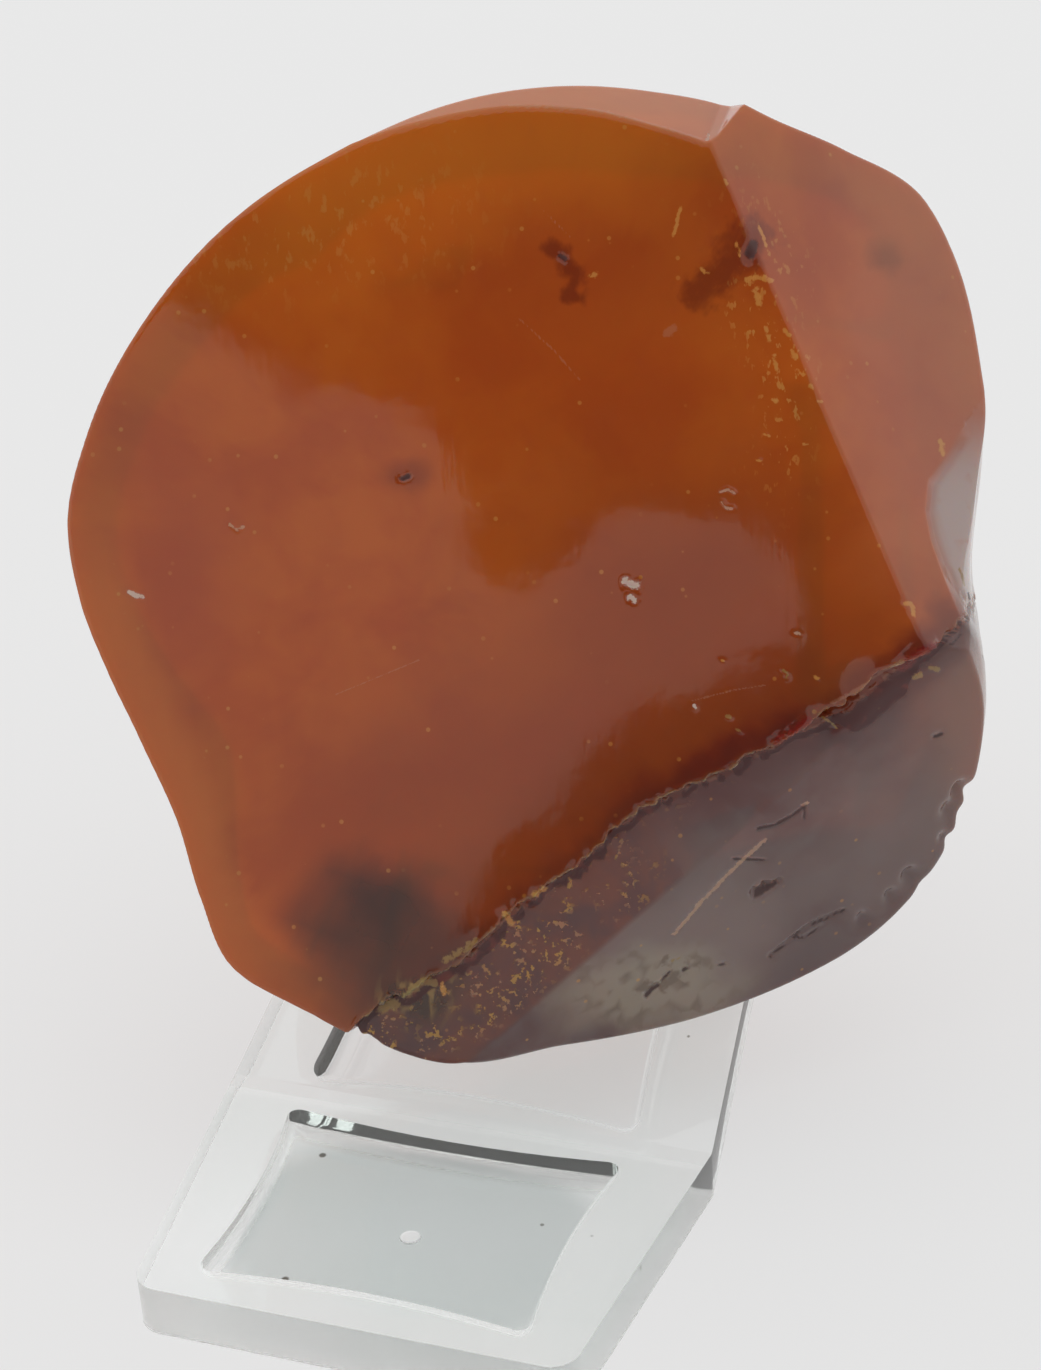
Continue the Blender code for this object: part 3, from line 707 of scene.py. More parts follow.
def stand_plan():
    """Top view of the stand as (across, back) points: widest at the crease."""
    rear = TRAY_REACH + WALL
    back = rear + REST_TOP
    right = [
        (HALF_WIDTH_FRONT, -FOOT_DEPTH), (HALF_WIDTH_CREASE, 0.0), (HALF_WIDTH_REAR, rear),
        (HALF_WIDTH_REAR, back),
    ]
    return right + [(-x, y) for x, y in reversed(right)]


def stand_face():
    """Front view of the stand as (across, up) points: straight sides, then a narrowing rest."""
    shoulder = PLATE + TRAY_REACH * math.tan(math.radians(TRAY_RISE))
    wide = HALF_WIDTH_CREASE + SPARE
    right = [
        (wide, -SPARE), (wide, shoulder / 2.0), (HALF_WIDTH_REAR, shoulder),
        (HALF_WIDTH_TOP, REST_TOP),
    ]
    return right + [(-x, y) for x, y in reversed(right)]


def cut(target, cutter, operation):
    """Apply one exact boolean to the target and delete the cutter."""
    modifier = target.modifiers.new(cutter.name, "BOOLEAN")
    modifier.operation = operation
    modifier.solver = "EXACT"
    modifier.object = cutter
    apply_modifiers(target)
    bpy.data.objects.remove(cutter)


def apply_modifiers(obj):
    bpy.context.view_layer.update()
    evaluated = obj.evaluated_get(bpy.context.evaluated_depsgraph_get())
    mesh = bpy.data.meshes.new_from_object(evaluated)
    obj.modifiers.clear()
    obj.data = mesh


def bevel(obj, width, segments, angle):
    modifier = obj.modifiers.new("Rounded edges", "BEVEL")
    modifier.width = width * MM
    modifier.segments = segments
    modifier.limit_method = "ANGLE"
    modifier.angle_limit = math.radians(angle)
    modifier.harden_normals = False
    apply_modifiers(obj)


def recess_cutter(name, half_rear, half_front, front, rear):
    """Tapered block with bowed sides and rounded walls, in the frame of its surface."""
    corners = [(-half_front, front), (half_front, front), (half_rear, rear), (-half_rear, rear)]
    outline = bow_sides(corners, RECESS_BOW, 10)
    cutter = prism_from_outline(name, outline, SPARE)
    bevel(cutter, RECESS_COVE, 8, 50.0)
    return cutter


def make_stand(material):
    stand = prism_from_outline("stand_clear", stand_profile(), HALF_WIDTH_CREASE + SPARE)
    # The profile is drawn flat: its across axis becomes +Y and its up axis becomes +Z
    stand.data.transform(Matrix(((0, 0, 1, 0), (1, 0, 0, 0), (0, 1, 0, 0), (0, 0, 0, 1))))
    plan = round_corners(stand_plan(), CORNER_RADIUS, 8)
    cut(stand, prism_from_outline("plan_outline", plan, REST_TOP + SPARE), "INTERSECT")
    face = prism_from_outline(
        "face_outline", round_corners(stand_face(), TOP_CORNER_RADIUS, 10), TRAY_REACH + REST_TOP)
    face.rotation_euler = (math.radians(90.0), 0.0, 0.0)
    cut(stand, face, "INTERSECT")
    bevel(stand, EDGE_ROUND, 6, SHARP_ANGLE)

    foot_recess = recess_cutter(
        "foot_recess", RECESS_HALF_WIDTH, RECESS_HALF_WIDTH * RECESS_TAPER,
        -FOOT_RECESS_FRONT, -BAR_WIDTH)
    foot_recess.location = (0.0, 0.0, (PLATE - RECESS_DEPTH + SPARE) * MM)
    cut(stand, foot_recess, "DIFFERENCE")

    tilt = math.radians(TRAY_RISE)
    tray_recess = recess_cutter(
        "tray_recess", RECESS_HALF_WIDTH, RECESS_HALF_WIDTH, TRAY_RECESS_START, TRAY_RECESS_END)
    lift = SPARE - RECESS_DEPTH
    tray_recess.rotation_euler = (tilt, 0.0, 0.0)
    tray_recess.location = (
        0.0, -math.sin(tilt) * lift * MM, (PLATE + math.cos(tilt) * lift) * MM)
    cut(stand, tray_recess, "DIFFERENCE")

    gate_bm = bmesh.new()
    bmesh.ops.create_uvsphere(
        gate_bm, u_segments=32, v_segments=16, radius=GATE_MARK_RADIUS * MM)
    squash = GATE_MARK_HEIGHT / GATE_MARK_RADIUS
    bmesh.ops.scale(gate_bm, vec=(1.0, 1.0, squash), verts=gate_bm.verts)
    gate = mesh_object("gate_mark", gate_bm)
    gate.location = (0.0, -CREASE_BACK * MM, (PLATE - RECESS_DEPTH) * MM)
    cut(stand, gate, "UNION")

    stand.data.transform(Matrix.Translation((0.0, CREASE_BACK * MM, 0.0)))
    stand.data.shade_smooth()
    stand.data.set_sharp_from_angle(angle=math.radians(SHARP_ANGLE))
    stand.data.materials.clear()
    stand.data.materials.append(material)
    stand.visible_shadow = False
    stand.visible_diffuse = False
    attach(stand, "root")
    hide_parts("display_stand")
    return stand


# Materials

class Nodes:
    """Short names for making nodes in a tree, about a place in millimetres."""

    def __init__(self, tree):
        self.tree = tree

    def node(self, kind, **settings):
        made = self.tree.nodes.new(kind)
        for name, value in settings.items():
            setattr(made, name, value)
        return made

    def feed(self, socket, value):
        """Link an output into a socket, or set the socket's own value."""
        if isinstance(value, bpy.types.NodeSocket):
            self.tree.links.new(value, socket)
        elif isinstance(value, tuple) and len(value) == 3 and socket.type == "RGBA":
            socket.default_value = (*value, 1.0)
        else:
            socket.default_value = value

    def math(self, operation, first, second=0.0, third=0.0):
        made = self.node("ShaderNodeMath", operation=operation)
        for socket, value in zip(made.inputs, (first, second, third)):
            self.feed(socket, value)
        return made.outputs[0]

    def vector(self, operation, first, second=(0.0, 0.0, 0.0), scale=1.0):
        made = self.node("ShaderNodeVectorMath", operation=operation)
        self.feed(made.inputs[0], first)
        if operation == "SCALE":
            self.feed(made.inputs["Scale"], scale)
        elif operation != "LENGTH":
            self.feed(made.inputs[1], second)
        return made.outputs["Value"] if operation == "LENGTH" else made.outputs["Vector"]

    def noise(self, size, detail=3.0, roughness=0.5, place=None, colour=False):
        """Noise with lumps of the given size in millimetres."""
        made = self.node("ShaderNodeTexNoise")
        self.feed(made.inputs["Vector"], place or self.place)
        made.inputs["Scale"].default_value = 1.0 / size
        made.inputs["Detail"].default_value = detail
        made.inputs["Roughness"].default_value = roughness
        return made.outputs["Color" if colour else "Fac"]

    def spots(self, size, radius, softness, place=None):
        """Round spots: 1 inside the given share of each cell, 0 outside."""
        made = self.node("ShaderNodeTexVoronoi")
        self.feed(made.inputs["Vector"], place or self.place)
        made.inputs["Scale"].default_value = 1.0 / size
        return self.smooth(made.outputs["Distance"], radius + softness, radius)

    def smooth(self, value, low, high):
        """0 at low and 1 at high, with a smooth turn between them."""
        made = self.node("ShaderNodeMapRange", interpolation_type="SMOOTHSTEP")
        self.feed(made.inputs["Value"], value)
        if low < high:
            made.inputs["From Min"].default_value = low
            made.inputs["From Max"].default_value = high
            return made.outputs["Result"]
        made.inputs["From Min"].default_value = high
        made.inputs["From Max"].default_value = low
        return self.math("SUBTRACT", 1.0, made.outputs["Result"])

    def mix(self, share, first, second):
        made = self.node("ShaderNodeMix", data_type="RGBA")
        self.feed(made.inputs["Factor"], share)
        self.feed(made.inputs[6], first)
        self.feed(made.inputs[7], second)
        return made.outputs[2]

    def times(self, first, *others):
        for other in others:
            first = self.math("MULTIPLY", first, other)
        return first

    def tint(self, colour, share, strength, shade):
        """The colour mixed towards a shade by a share times a strength."""
        return self.mix(self.times(share, strength), colour, shade)

    def zones(self, colour, zones, place):
        for centre, radii, softness, shade, strength in zones:
            share = self.blob(centre, radii, softness, place)
            colour = self.tint(colour, share, strength, shade)
        return colour

    def blob(self, centre, radii, softness, place):
        """1 in an ellipsoid, fading to 0 over the given share of its radius."""
        away = self.vector("SUBTRACT", place, centre)
        scaled = self.vector("DIVIDE", away, radii)
        return self.smooth(self.vector("LENGTH", scaled), 1.0 + softness, 1.0 - softness)


class PointFields(Nodes):
    """Nodes worked out once, at each point of a mesh, and kept there as attributes."""

    def __init__(self, name):
        super().__init__(bpy.data.node_groups.new(name, "GeometryNodeTree"))
        for way in ("INPUT", "OUTPUT"):
            self.tree.interface.new_socket("Geometry", in_out=way, socket_type="NodeSocketGeometry")
        self.geometry = self.node("NodeGroupInput").outputs[0]
        self.place = self.node("GeometryNodeInputPosition").outputs[0]

    def channel(self, name):
        made = self.node("GeometryNodeInputNamedAttribute", data_type="FLOAT")
        made.inputs["Name"].default_value = name
        return made.outputs["Attribute"]

    def keep(self, name, value, kind="FLOAT"):
        made = self.node("GeometryNodeStoreNamedAttribute", data_type=kind, domain="POINT")
        made.inputs["Name"].default_value = name
        self.feed(made.inputs["Geometry"], self.geometry)
        self.feed(made.inputs["Value"], value)
        self.geometry = made.outputs["Geometry"]

    def apply_to(self, obj):
        self.feed(self.node("NodeGroupOutput").inputs[0], self.geometry)
        obj.modifiers.new("fields", "NODES").node_group = self.tree
        apply_modifiers(obj)
        bpy.data.node_groups.remove(self.tree)


class Graph(Nodes):
    """A material's nodes."""

    def __init__(self, name, place=Matrix.Scale(MM, 4)):
        self.material = bpy.data.materials.new(name)
        self.material.use_nodes = True
        super().__init__(self.material.node_tree)
        self.shader = self.tree.nodes["Principled BSDF"]
        self.output = self.tree.nodes["Material Output"]
        # Coordinates in millimetres, in the piece's own axes
        own = self.node("ShaderNodeMapping", vector_type="TEXTURE")
        own.inputs["Location"].default_value = place.to_translation()
        own.inputs["Rotation"].default_value = place.to_euler()
        own.inputs["Scale"].default_value = place.to_scale()
        self.feed(own.inputs["Vector"], self.node("ShaderNodeTexCoord").outputs["Object"])
        self.place = own.outputs["Vector"]

    def channel(self, name, output="Fac"):
        return self.node("ShaderNodeAttribute", attribute_name=name).outputs[output]

    def absorb(self, colour, density):
        """Absorption inside the piece, by one colour and density."""
        volume = self.node("ShaderNodeVolumeAbsorption")
        volume.inputs["Color"].default_value = (*colour, 1.0)
        volume.inputs["Density"].default_value = density
        self.tree.links.new(volume.outputs["Volume"], self.output.inputs["Volume"])

    def bump(self, height, strength, distance):
        made = self.node("ShaderNodeBump")
        made.inputs["Strength"].default_value = strength
        made.inputs["Distance"].default_value = distance * MM
        self.feed(made.inputs["Height"], height)
        self.feed(self.shader.inputs["Normal"], made.outputs["Normal"])


def srgb(red, green, blue):
    """Linear colour of a colour given as 0 to 255."""
    def linear(value):
        share = value / 255.0
        return share / 12.92 if share <= 0.04045 else ((share + 0.055) / 1.055) ** 2.4
    return (linear(red), linear(green), linear(blue))


# Amber, from its edges to the middle
ORANGE = srgb(192, 98, 26)
ORANGE_DEEP = srgb(176, 80, 22)
YELLOW_EDGE = srgb(214, 118, 30)
RIM_GLOW = srgb(202, 108, 40)
PURPLE_BROWN = srgb(166, 76, 42)
DULL_BROWN = srgb(146, 66, 26)
# painted reflection: the right facet paler and pinker, as where it mirrors bright light
FACET_PAINTED_SHEEN = srgb(188, 122, 92)
DARK_CORE = srgb(36, 28, 26)
# Along the crack
BAND_BROWN = srgb(124, 62, 28)
EDGE_BROWN = srgb(78, 40, 26)
DEEP_RED = srgb(104, 36, 24)
# painted shade deep in the groove under the crack
CAVITY_PAINTED_SHADE = srgb(64, 12, 10)
LIP_BROWN = srgb(150, 112, 88)
GOLD = srgb(186, 146, 66)
CRUMB_BROWN = srgb(168, 126, 92)
CRUST_SHADE = srgb(74, 48, 34)
CRUST_DARK = srgb(58, 42, 26)
OCHRE = srgb(156, 128, 72)
# Below the crack
LOWER_DARK = srgb(98, 76, 74)
LOWER_MAROON = srgb(88, 54, 52)
LOWER_PINK = srgb(156, 112, 96)
LOWER_GREY = srgb(138, 118, 112)
STRIP_BROWN = srgb(110, 62, 46)
PATCH_PALE = srgb(164, 152, 132)
PATCH_DARK = srgb(104, 84, 68)
# Marks, wear and the pale reflection painted in the scoop
MAROON = srgb(92, 26, 16)
CHIP_RED = srgb(108, 26, 20)
PIT_DARK = srgb(54, 16, 12)
YELLOW = srgb(214, 156, 76)
PALE = srgb(196, 160, 132)
WHITE_CRUST = srgb(214, 200, 186)
# painted reflection: the scoop paled as if it mirrored a bright light
SCOOP_PAINTED_REFLECTION = srgb(190, 174, 168)

# Colour zones of the front: centre and radii in millimetres, softness, colour and strength
ZONES = (
    ((-6.0, 36.0, 8.0), (26.0, 8.0, 20.0), 0.6, YELLOW_EDGE, 0.8),
    ((-16.0, 27.0, 12.0), (9.0, 7.0, 14.0), 0.8, YELLOW_EDGE, 0.35),
    ((3.0, 18.0, 14.0), (10.0, 8.0, 12.0), 0.7, ORANGE_DEEP, 0.6),
    ((-29.0, 2.0, 8.0), (5.0, 10.0, 20.0), 0.8, PURPLE_BROWN, 0.6),
    ((-4.0, -13.0, 14.0), (9.0, 5.0, 12.0), 0.8, PURPLE_BROWN, 0.5),
    ((13.0, -4.0, 14.0), (14.0, 12.0, 12.0), 0.8, DULL_BROWN, 0.85),
    ((-4.0, -20.0, 14.0), (16.0, 11.0, 12.0), 0.8, DULL_BROWN, 0.75),
    ((14.0, 26.0, 14.0), (14.0, 7.0, 12.0), 0.8, DULL_BROWN, 0.3),
    # painted reflection on the right facet
    ((34.0, 16.0, 5.0), (7.0, 22.0, 18.0), 0.7, FACET_PAINTED_SHEEN, 0.4),
    ((32.0, 13.0, 5.0), (4.0, 8.0, 12.0), 0.9, PURPLE_BROWN, 0.45),
    ((-10.0, -31.5, 12.0), (8.0, 3.6, 12.0), 0.7, CRUST_SHADE, 0.8),
    ((-15.0, -33.5, 8.0), (5.0, 3.0, 12.0), 0.8, CRUST_SHADE, 0.6),
    ((-12.5, -28.5, 14.0), (5.6, 4.8, 10.0), 0.7, DARK_CORE, 0.96),
    ((-7.0, -30.5, 14.0), (6.0, 2.4, 10.0), 0.8, DARK_CORE, 0.6),
    ((-15.5, -25.5, 14.0), (3.4, 2.8, 10.0), 0.8, DARK_CORE, 0.55),
    ((-9.3, 8.4, 14.0), (1.5, 1.3, 6.0), 0.9, DEEP_RED, 0.55),
    ((31.5, 25.5, 6.0), (1.8, 1.5, 8.0), 0.9, DARK_CORE, 0.45),
    ((27.5, 28.5, 6.0), (3.5, 1.2, 8.0), 0.9, PURPLE_BROWN, 0.5),
)
# The same for the side below the crack
LOWER_ZONES = (
    ((37.0, -13.0, 4.0), (5.5, 9.0, 16.0), 0.7, LOWER_PINK, 0.9),
    ((29.0, -24.0, 6.0), (7.0, 7.0, 14.0), 0.8, LOWER_GREY, 0.6),
    ((13.0, -31.0, 10.0), (9.0, 7.0, 12.0), 0.7, LOWER_GREY, 0.85),
)
# Places of the heap of crust, the weathered patch, the flecks and the worn edge: centre and radii
CRUST_HEAP = ((-11.0, -34.3, 9.0), (3.8, 1.5, 12.0))
PATCH = ((9.0, -35.8, 8.0), (8.5, 3.2, 10.0))
FLECKS = ((20.3, 17.5, 12.0), (2.6, 10.5, 12.0))
WORN_EDGE = ((-16.0, 29.5, 12.0), (14.0, 5.5, 12.0))
# Colour of each mark channel, its strength, and how much noise breaks its edge
MARK_COLOURS = (
    ("maroon", MAROON, 0.6, 1.5), ("dark", PIT_DARK, 0.9, 0.7), ("chip", CHIP_RED, 0.9, 1.6),
    ("ochre", OCHRE, 0.8, 1.6), ("pale", PALE, 0.75, 1.6), ("yellow", YELLOW, 0.75, 1.6),
    ("white", WHITE_CRUST, 0.9, 1.6), ("faint", PALE, 0.22, 1.6),
)
MATT_MARKS = ("dark", "pale", "white")
AMBER_IOR = 1.54
AMBER_TRANSMISSION = 0.4
AMBER_ROUGHNESS = 0.055
AMBER_SUBSURFACE = 0.35
SUBSURFACE_RADIUS = (1.0, 0.35, 0.12)
SUBSURFACE_SCALE = 0.006
ABSORPTION = (0.90, 0.52, 0.03)
ABSORPTION_DENSITY = 120.0
WARP = 10.0                 # how far noise bends the colour zones, in millimetres


# Noises that are worked out at the points: size in millimetres, detail and roughness
GRAINS = {
    "lower_grain": (5.0, 4.0, 0.6), "mottle": (1.5, 4.0, 0.65), "strip_grain": (3.0, 4.0, 0.6),
    "patches": (2.6, 3.0, 0.6), "tone": (1.7, 3.0, 0.5), "flakes": (0.9, 4.0, 0.65),
    "lip_grain": (0.9, 3.0, 0.5), "depths": (1.3, 3.0, 0.5), "scoop_reflection_grain": (1.6, 4.0, 0.5),
    "coarse": (1.2, 4.0, 0.7),
}


def amber_fields():
    """The amber's broad colour and the smooth fields of its material. They are vectors and
    numbers, because a colour at the points would tint the exported model.
    """
    g = PointFields("amber_fields")
    warp = g.vector("SUBTRACT", g.noise(9.0, colour=True), (0.5, 0.5, 0.5))
    bent = g.vector("ADD", g.place, g.vector("SCALE", warp, scale=WARP))
    clouds = g.smooth(g.noise(11.0, 4.0, 0.6, bent), 0.35, 0.68)
    colour = g.zones(g.mix(clouds, ORANGE, ORANGE_DEEP), ZONES, bent)
    colour = g.tint(colour, g.channel("rim_glow"), 0.8, RIM_GLOW)
    wisps = g.smooth(g.noise(2.6, 4.0, 0.65, bent), 0.56, 0.74)
    colour = g.tint(colour, wisps, 0.16, PURPLE_BROWN)
    bend = g.times(g.math("SUBTRACT", g.noise(4.0), 0.5), 4.0)
    near = g.smooth(g.math("ADD", g.channel("below"), bend), -3.6, -0.6)
    for name, (size, detail, roughness) in GRAINS.items():
        g.keep(name, g.noise(size, detail, roughness, bent if name == "lower_grain" else None))
    g.keep("bent", bent, "FLOAT_VECTOR")
    g.keep("broad", colour, "FLOAT_VECTOR")
    g.keep("reddened", g.times(near, g.channel("crimson")))
    g.keep("dusty", g.smooth(g.noise(6.0), 0.46, 0.6))
    g.keep("smeared", g.smooth(g.noise(5.0, 4.0, 0.7, bent), 0.5, 0.8))
    for name, place in (("heap", CRUST_HEAP), ("worn", WORN_EDGE), ("flecked", FLECKS)):
        g.keep(name, g.blob(*place, 0.5 if name == "heap" else 0.6, bent))
    return g


def above_crack(g, colour, below):
    """Towards the crack the amber darkens and turns red."""
    shade = g.channel("shade")
    band = g.times(g.smooth(below, -10.0, -3.0), shade)
    colour = g.tint(colour, band, 0.7, BAND_BROWN)
    colour = g.mix(g.channel("reddened"), colour, DEEP_RED)
    edge = g.times(g.smooth(below, -2.4, -0.3), shade)
    return g.tint(colour, edge, 0.6, EDGE_BROWN)


def below_crack(g, bent, below, strip):
    """A dark facet with a weathered patch, and a brown strip at the left."""
    lower = g.mix(g.smooth(g.channel("lower_grain"), 0.4, 0.65), LOWER_DARK, LOWER_MAROON)
    lower = g.zones(lower, LOWER_ZONES, bent)
    patch = g.blob(*PATCH, 0.6, bent)
    mottle = g.smooth(g.channel("mottle"), 0.48, 0.62)
    lower = g.tint(lower, patch, 0.7, PATCH_PALE)
    lower = g.tint(lower, g.times(patch, mottle), 0.75, PATCH_DARK)
    lower = g.tint(lower, g.smooth(below, 3.6, 0.6), 0.7, LOWER_MAROON)
    brown = g.mix(g.smooth(g.channel("strip_grain"), 0.4, 0.62), STRIP_BROWN, LOWER_MAROON)
    return g.tint(lower, strip, 0.9, brown)


def crack_crumbs(g, below, strip):
    """Share of gold crumbs under the crack, which reach furthest on the strip."""
    crumbs = g.smooth(g.noise(0.58, 2.0, 0.6), 0.56, 0.62)
    patches = g.smooth(g.channel("patches"), 0.44, 0.56)
    reach = g.math("ADD", g.times(strip, 6.0), 1.2)
    within = g.smooth(g.math("DIVIDE", below, reach), 1.1, 0.6)
    gold = g.math("ADD", g.channel("gold"), 0.1)
    return g.times(crumbs, patches, within, g.smooth(below, -0.2, 0.4), gold)


def wear_and_painted_sheen(g, colour):
    """Worn streaks at the upper left, dust, flecks by the ridge, and a painted reflection in the scoop.
    """
    streaked = g.vector("MULTIPLY", g.place, (1.0, 0.5, 1.0))
    streaks = g.smooth(g.noise(0.8, 3.0, 0.6, streaked), 0.56, 0.66)
    colour = g.tint(colour, g.times(streaks, g.channel("worn")), 0.32, YELLOW)
    dust = g.times(g.spots(1.9, 0.07, 0.05), g.channel("dusty"))
    colour = g.tint(colour, dust, 0.5, YELLOW)
    flecks = g.smooth(g.noise(0.55, 2.0, 0.6, streaked), 0.6, 0.66)
    colour = g.tint(colour, g.times(flecks, g.channel("flecked")), 0.7, YELLOW)
    # painted reflection in the scoop, broken up by noise
    scoop_reflection = g.times(g.channel("scoop"), g.smooth(g.channel("scoop_reflection_grain"), 0.1, 0.4))
    return g.tint(colour, scoop_reflection, 0.95, SCOOP_PAINTED_REFLECTION)


def marks_on(g, colour, matt):
    """The marks' colours, with edges broken by noise, and the share that is matt."""
    fine = g.math("SUBTRACT", g.noise(0.45, 3.0, 0.6), 0.56)
    coarse = g.math("SUBTRACT", g.channel("coarse"), 0.52)
    for name, shade, strength, noise_share in MARK_COLOURS:
        grain, low, high, fade = (coarse, 0.2, 0.95, 0.3) if name == "maroon" else (fine, 0.3, 0.7, 0.2)
        mark = g.channel(name)
        edge = g.math("ADD", mark, g.times(grain, noise_share))
        ragged = g.times(g.smooth(edge, low, high), g.smooth(mark, 0.0, fade))
        colour = g.tint(colour, ragged, strength, shade)
        if name in MATT_MARKS:
            matt = g.math("MAXIMUM", matt, ragged)
    return colour, matt


def crack_colours(g, colour, bent, below):
    """Everything at the crack and below it, the crumbs and lip that it leaves, and painted shade in its
    groove.
    """
    strip = g.channel("strip")
    colour = g.mix(g.smooth(below, 0.1, 0.5), colour, below_crack(g, bent, below, strip))
    crust = crack_crumbs(g, below, strip)
    tone = g.mix(g.smooth(g.channel("tone"), 0.42, 0.58), CRUMB_BROWN, GOLD)
    colour = g.mix(g.math("MINIMUM", g.times(crust, 1.1), 0.8), colour, tone)
    heap = g.channel("heap")
    colour = g.tint(colour, heap, 0.85, CRUST_DARK)
    flakes = g.times(heap, g.smooth(g.channel("flakes"), 0.5, 0.6))
    colour = g.tint(colour, flakes, 0.8, OCHRE)
    lip = g.times(g.smooth(below, -0.45, -0.1), g.smooth(below, 0.35, 0.05))
    lip = g.times(lip, g.smooth(g.channel("lip_grain"), 0.46, 0.56))
    colour = g.tint(colour, lip, 0.45, LIP_BROWN)
    # The groove is painted dark as shade, mixed with deep red, and is also made matt
    groove_shade = g.smooth(g.channel("groove"), 0.2, 0.6)
    depths = g.mix(g.smooth(g.channel("depths"), 0.54, 0.72), CAVITY_PAINTED_SHADE, DEEP_RED)
    return g.tint(colour, groove_shade, 0.95, depths), crust, lip, groove_shade


def amber_material():
    g = Graph("amber_polished", nugget_place())
    below = g.channel("below")
    colour = above_crack(g, g.channel("broad", "Vector"), below)
    colour, crust, lip, groove_shade = crack_colours(g, colour, g.channel("bent", "Vector"), below)
    colour, matt = marks_on(g, wear_and_painted_sheen(g, colour), groove_shade)
    inputs = g.shader.inputs
    g.feed(inputs["Base Color"], colour)

    rough = g.times(g.smooth(below, 0.1, 1.0), 0.08)
    rough = g.math("ADD", rough, g.times(g.math("MAXIMUM", crust, matt), 0.3))
    rough = g.math("ADD", rough, AMBER_ROUGHNESS)
    smears = g.times(g.channel("smeared"), 0.06)
    g.feed(inputs["Roughness"], g.math("ADD", rough, smears))

    hairs = g.vector("MULTIPLY", g.place, (1.0, 0.12, 1.0))
    height = g.times(g.noise(0.5, 1.0, 0.5, hairs), 0.06)
    height = g.math("ADD", height, g.times(g.noise(2.4, 2.0), 0.25))
    height = g.math("ADD", height, g.times(g.math("MAXIMUM", crust, lip), 2.0))
    g.bump(height, 0.25, 0.12)
    inputs["IOR"].default_value = AMBER_IOR
    inputs["Transmission Weight"].default_value = AMBER_TRANSMISSION
    inputs["Subsurface Weight"].default_value = AMBER_SUBSURFACE
    inputs["Subsurface Radius"].default_value = SUBSURFACE_RADIUS
    inputs["Subsurface Scale"].default_value = SUBSURFACE_SCALE
    g.absorb(ABSORPTION, ABSORPTION_DENSITY)
    return g.material


# Stand: clear plastic, with painted shade on its recess floor, a gate mark and a few specks
CLEAR = (1.0, 1.0, 1.0)
CLEAR_GREENISH = (0.97, 0.99, 0.98)
# painted shade on the foot's recess floor
PANEL_PAINTED_SHADE = (0.56, 0.62, 0.61)
SPECK_GREY = srgb(120, 118, 110)
SPECK_DARK = srgb(60, 58, 52)
FOOT_MIDDLE = CREASE_BACK - (BAR_WIDTH + FOOT_RECESS_FRONT) / 2.0
PANEL = ((0.0, FOOT_MIDDLE, PLATE - RECESS_DEPTH), (17.0, 13.0, 1.2))
GATE_MARK = ((0.0, 0.0, 2.3), (0.85, 0.85, 0.5))
PANEL_SPECKS = ((-11.3, 8.3, 2.1), (-8.0, -7.6, 2.1))
SPECK_RADII = (0.32, 0.32, 0.6)
UNDERSIDE = ((0.0, 30.0, 0.0), (200.0, 200.0, 0.2))
UNDERSIDE_ROUGHNESS = 0.6   # a finely textured underside
PLASTIC_ROUGHNESS = 0.02
PLASTIC_IOR = 1.49
PLASTIC_TRANSMISSION = 0.96
PLASTIC_ABSORPTION = (0.86, 0.93, 0.90)
PLASTIC_DENSITY = 26.0


def stand_material():
    g = Graph("clear_plastic_moulded")
    colour = g.mix(g.smooth(g.noise(14.0, 1.0), 0.3, 0.7), CLEAR, CLEAR_GREENISH)
    # painted shade on the recess floor
    colour = g.tint(colour, g.blob(*PANEL, 0.15, g.place), 0.95, PANEL_PAINTED_SHADE)
    colour = g.mix(g.blob(*GATE_MARK, 0.2, g.place), colour, CLEAR)
    for spot in PANEL_SPECKS:
        colour = g.mix(g.blob(spot, SPECK_RADII, 0.3, g.place), colour, SPECK_DARK)
    specks = g.times(g.spots(5.0, 0.03, 0.02), g.smooth(g.noise(9.0, 1.0), 0.5, 0.6))
    g.feed(g.shader.inputs["Base Color"], g.mix(specks, colour, SPECK_GREY))

    smears = g.smooth(g.noise(4.0, 3.0, 0.7), 0.45, 0.8)
    rough = g.math("ADD", g.times(smears, 0.05), PLASTIC_ROUGHNESS)
    textured = g.times(g.blob(*UNDERSIDE, 0.3, g.place), UNDERSIDE_ROUGHNESS)
    g.feed(g.shader.inputs["Roughness"], g.math("ADD", rough, textured))
    g.bump(g.noise(6.0, 2.0), 0.03, 0.1)
    inputs = g.shader.inputs
    inputs["IOR"].default_value = PLASTIC_IOR
    inputs["Transmission Weight"].default_value = PLASTIC_TRANSMISSION
    g.absorb(PLASTIC_ABSORPTION, PLASTIC_DENSITY)
    return g.material


def plain_material(name, colour, roughness):
    material = bpy.data.materials.new(name)
    material.use_nodes = True
    shader = material.node_tree.nodes["Principled BSDF"]
    shader.inputs["Base Color"].default_value = (*colour, 1.0)
    shader.inputs["Roughness"].default_value = roughness
    shader.inputs["Specular IOR Level"].default_value = 0.0
    return material


# Floor, light and camera

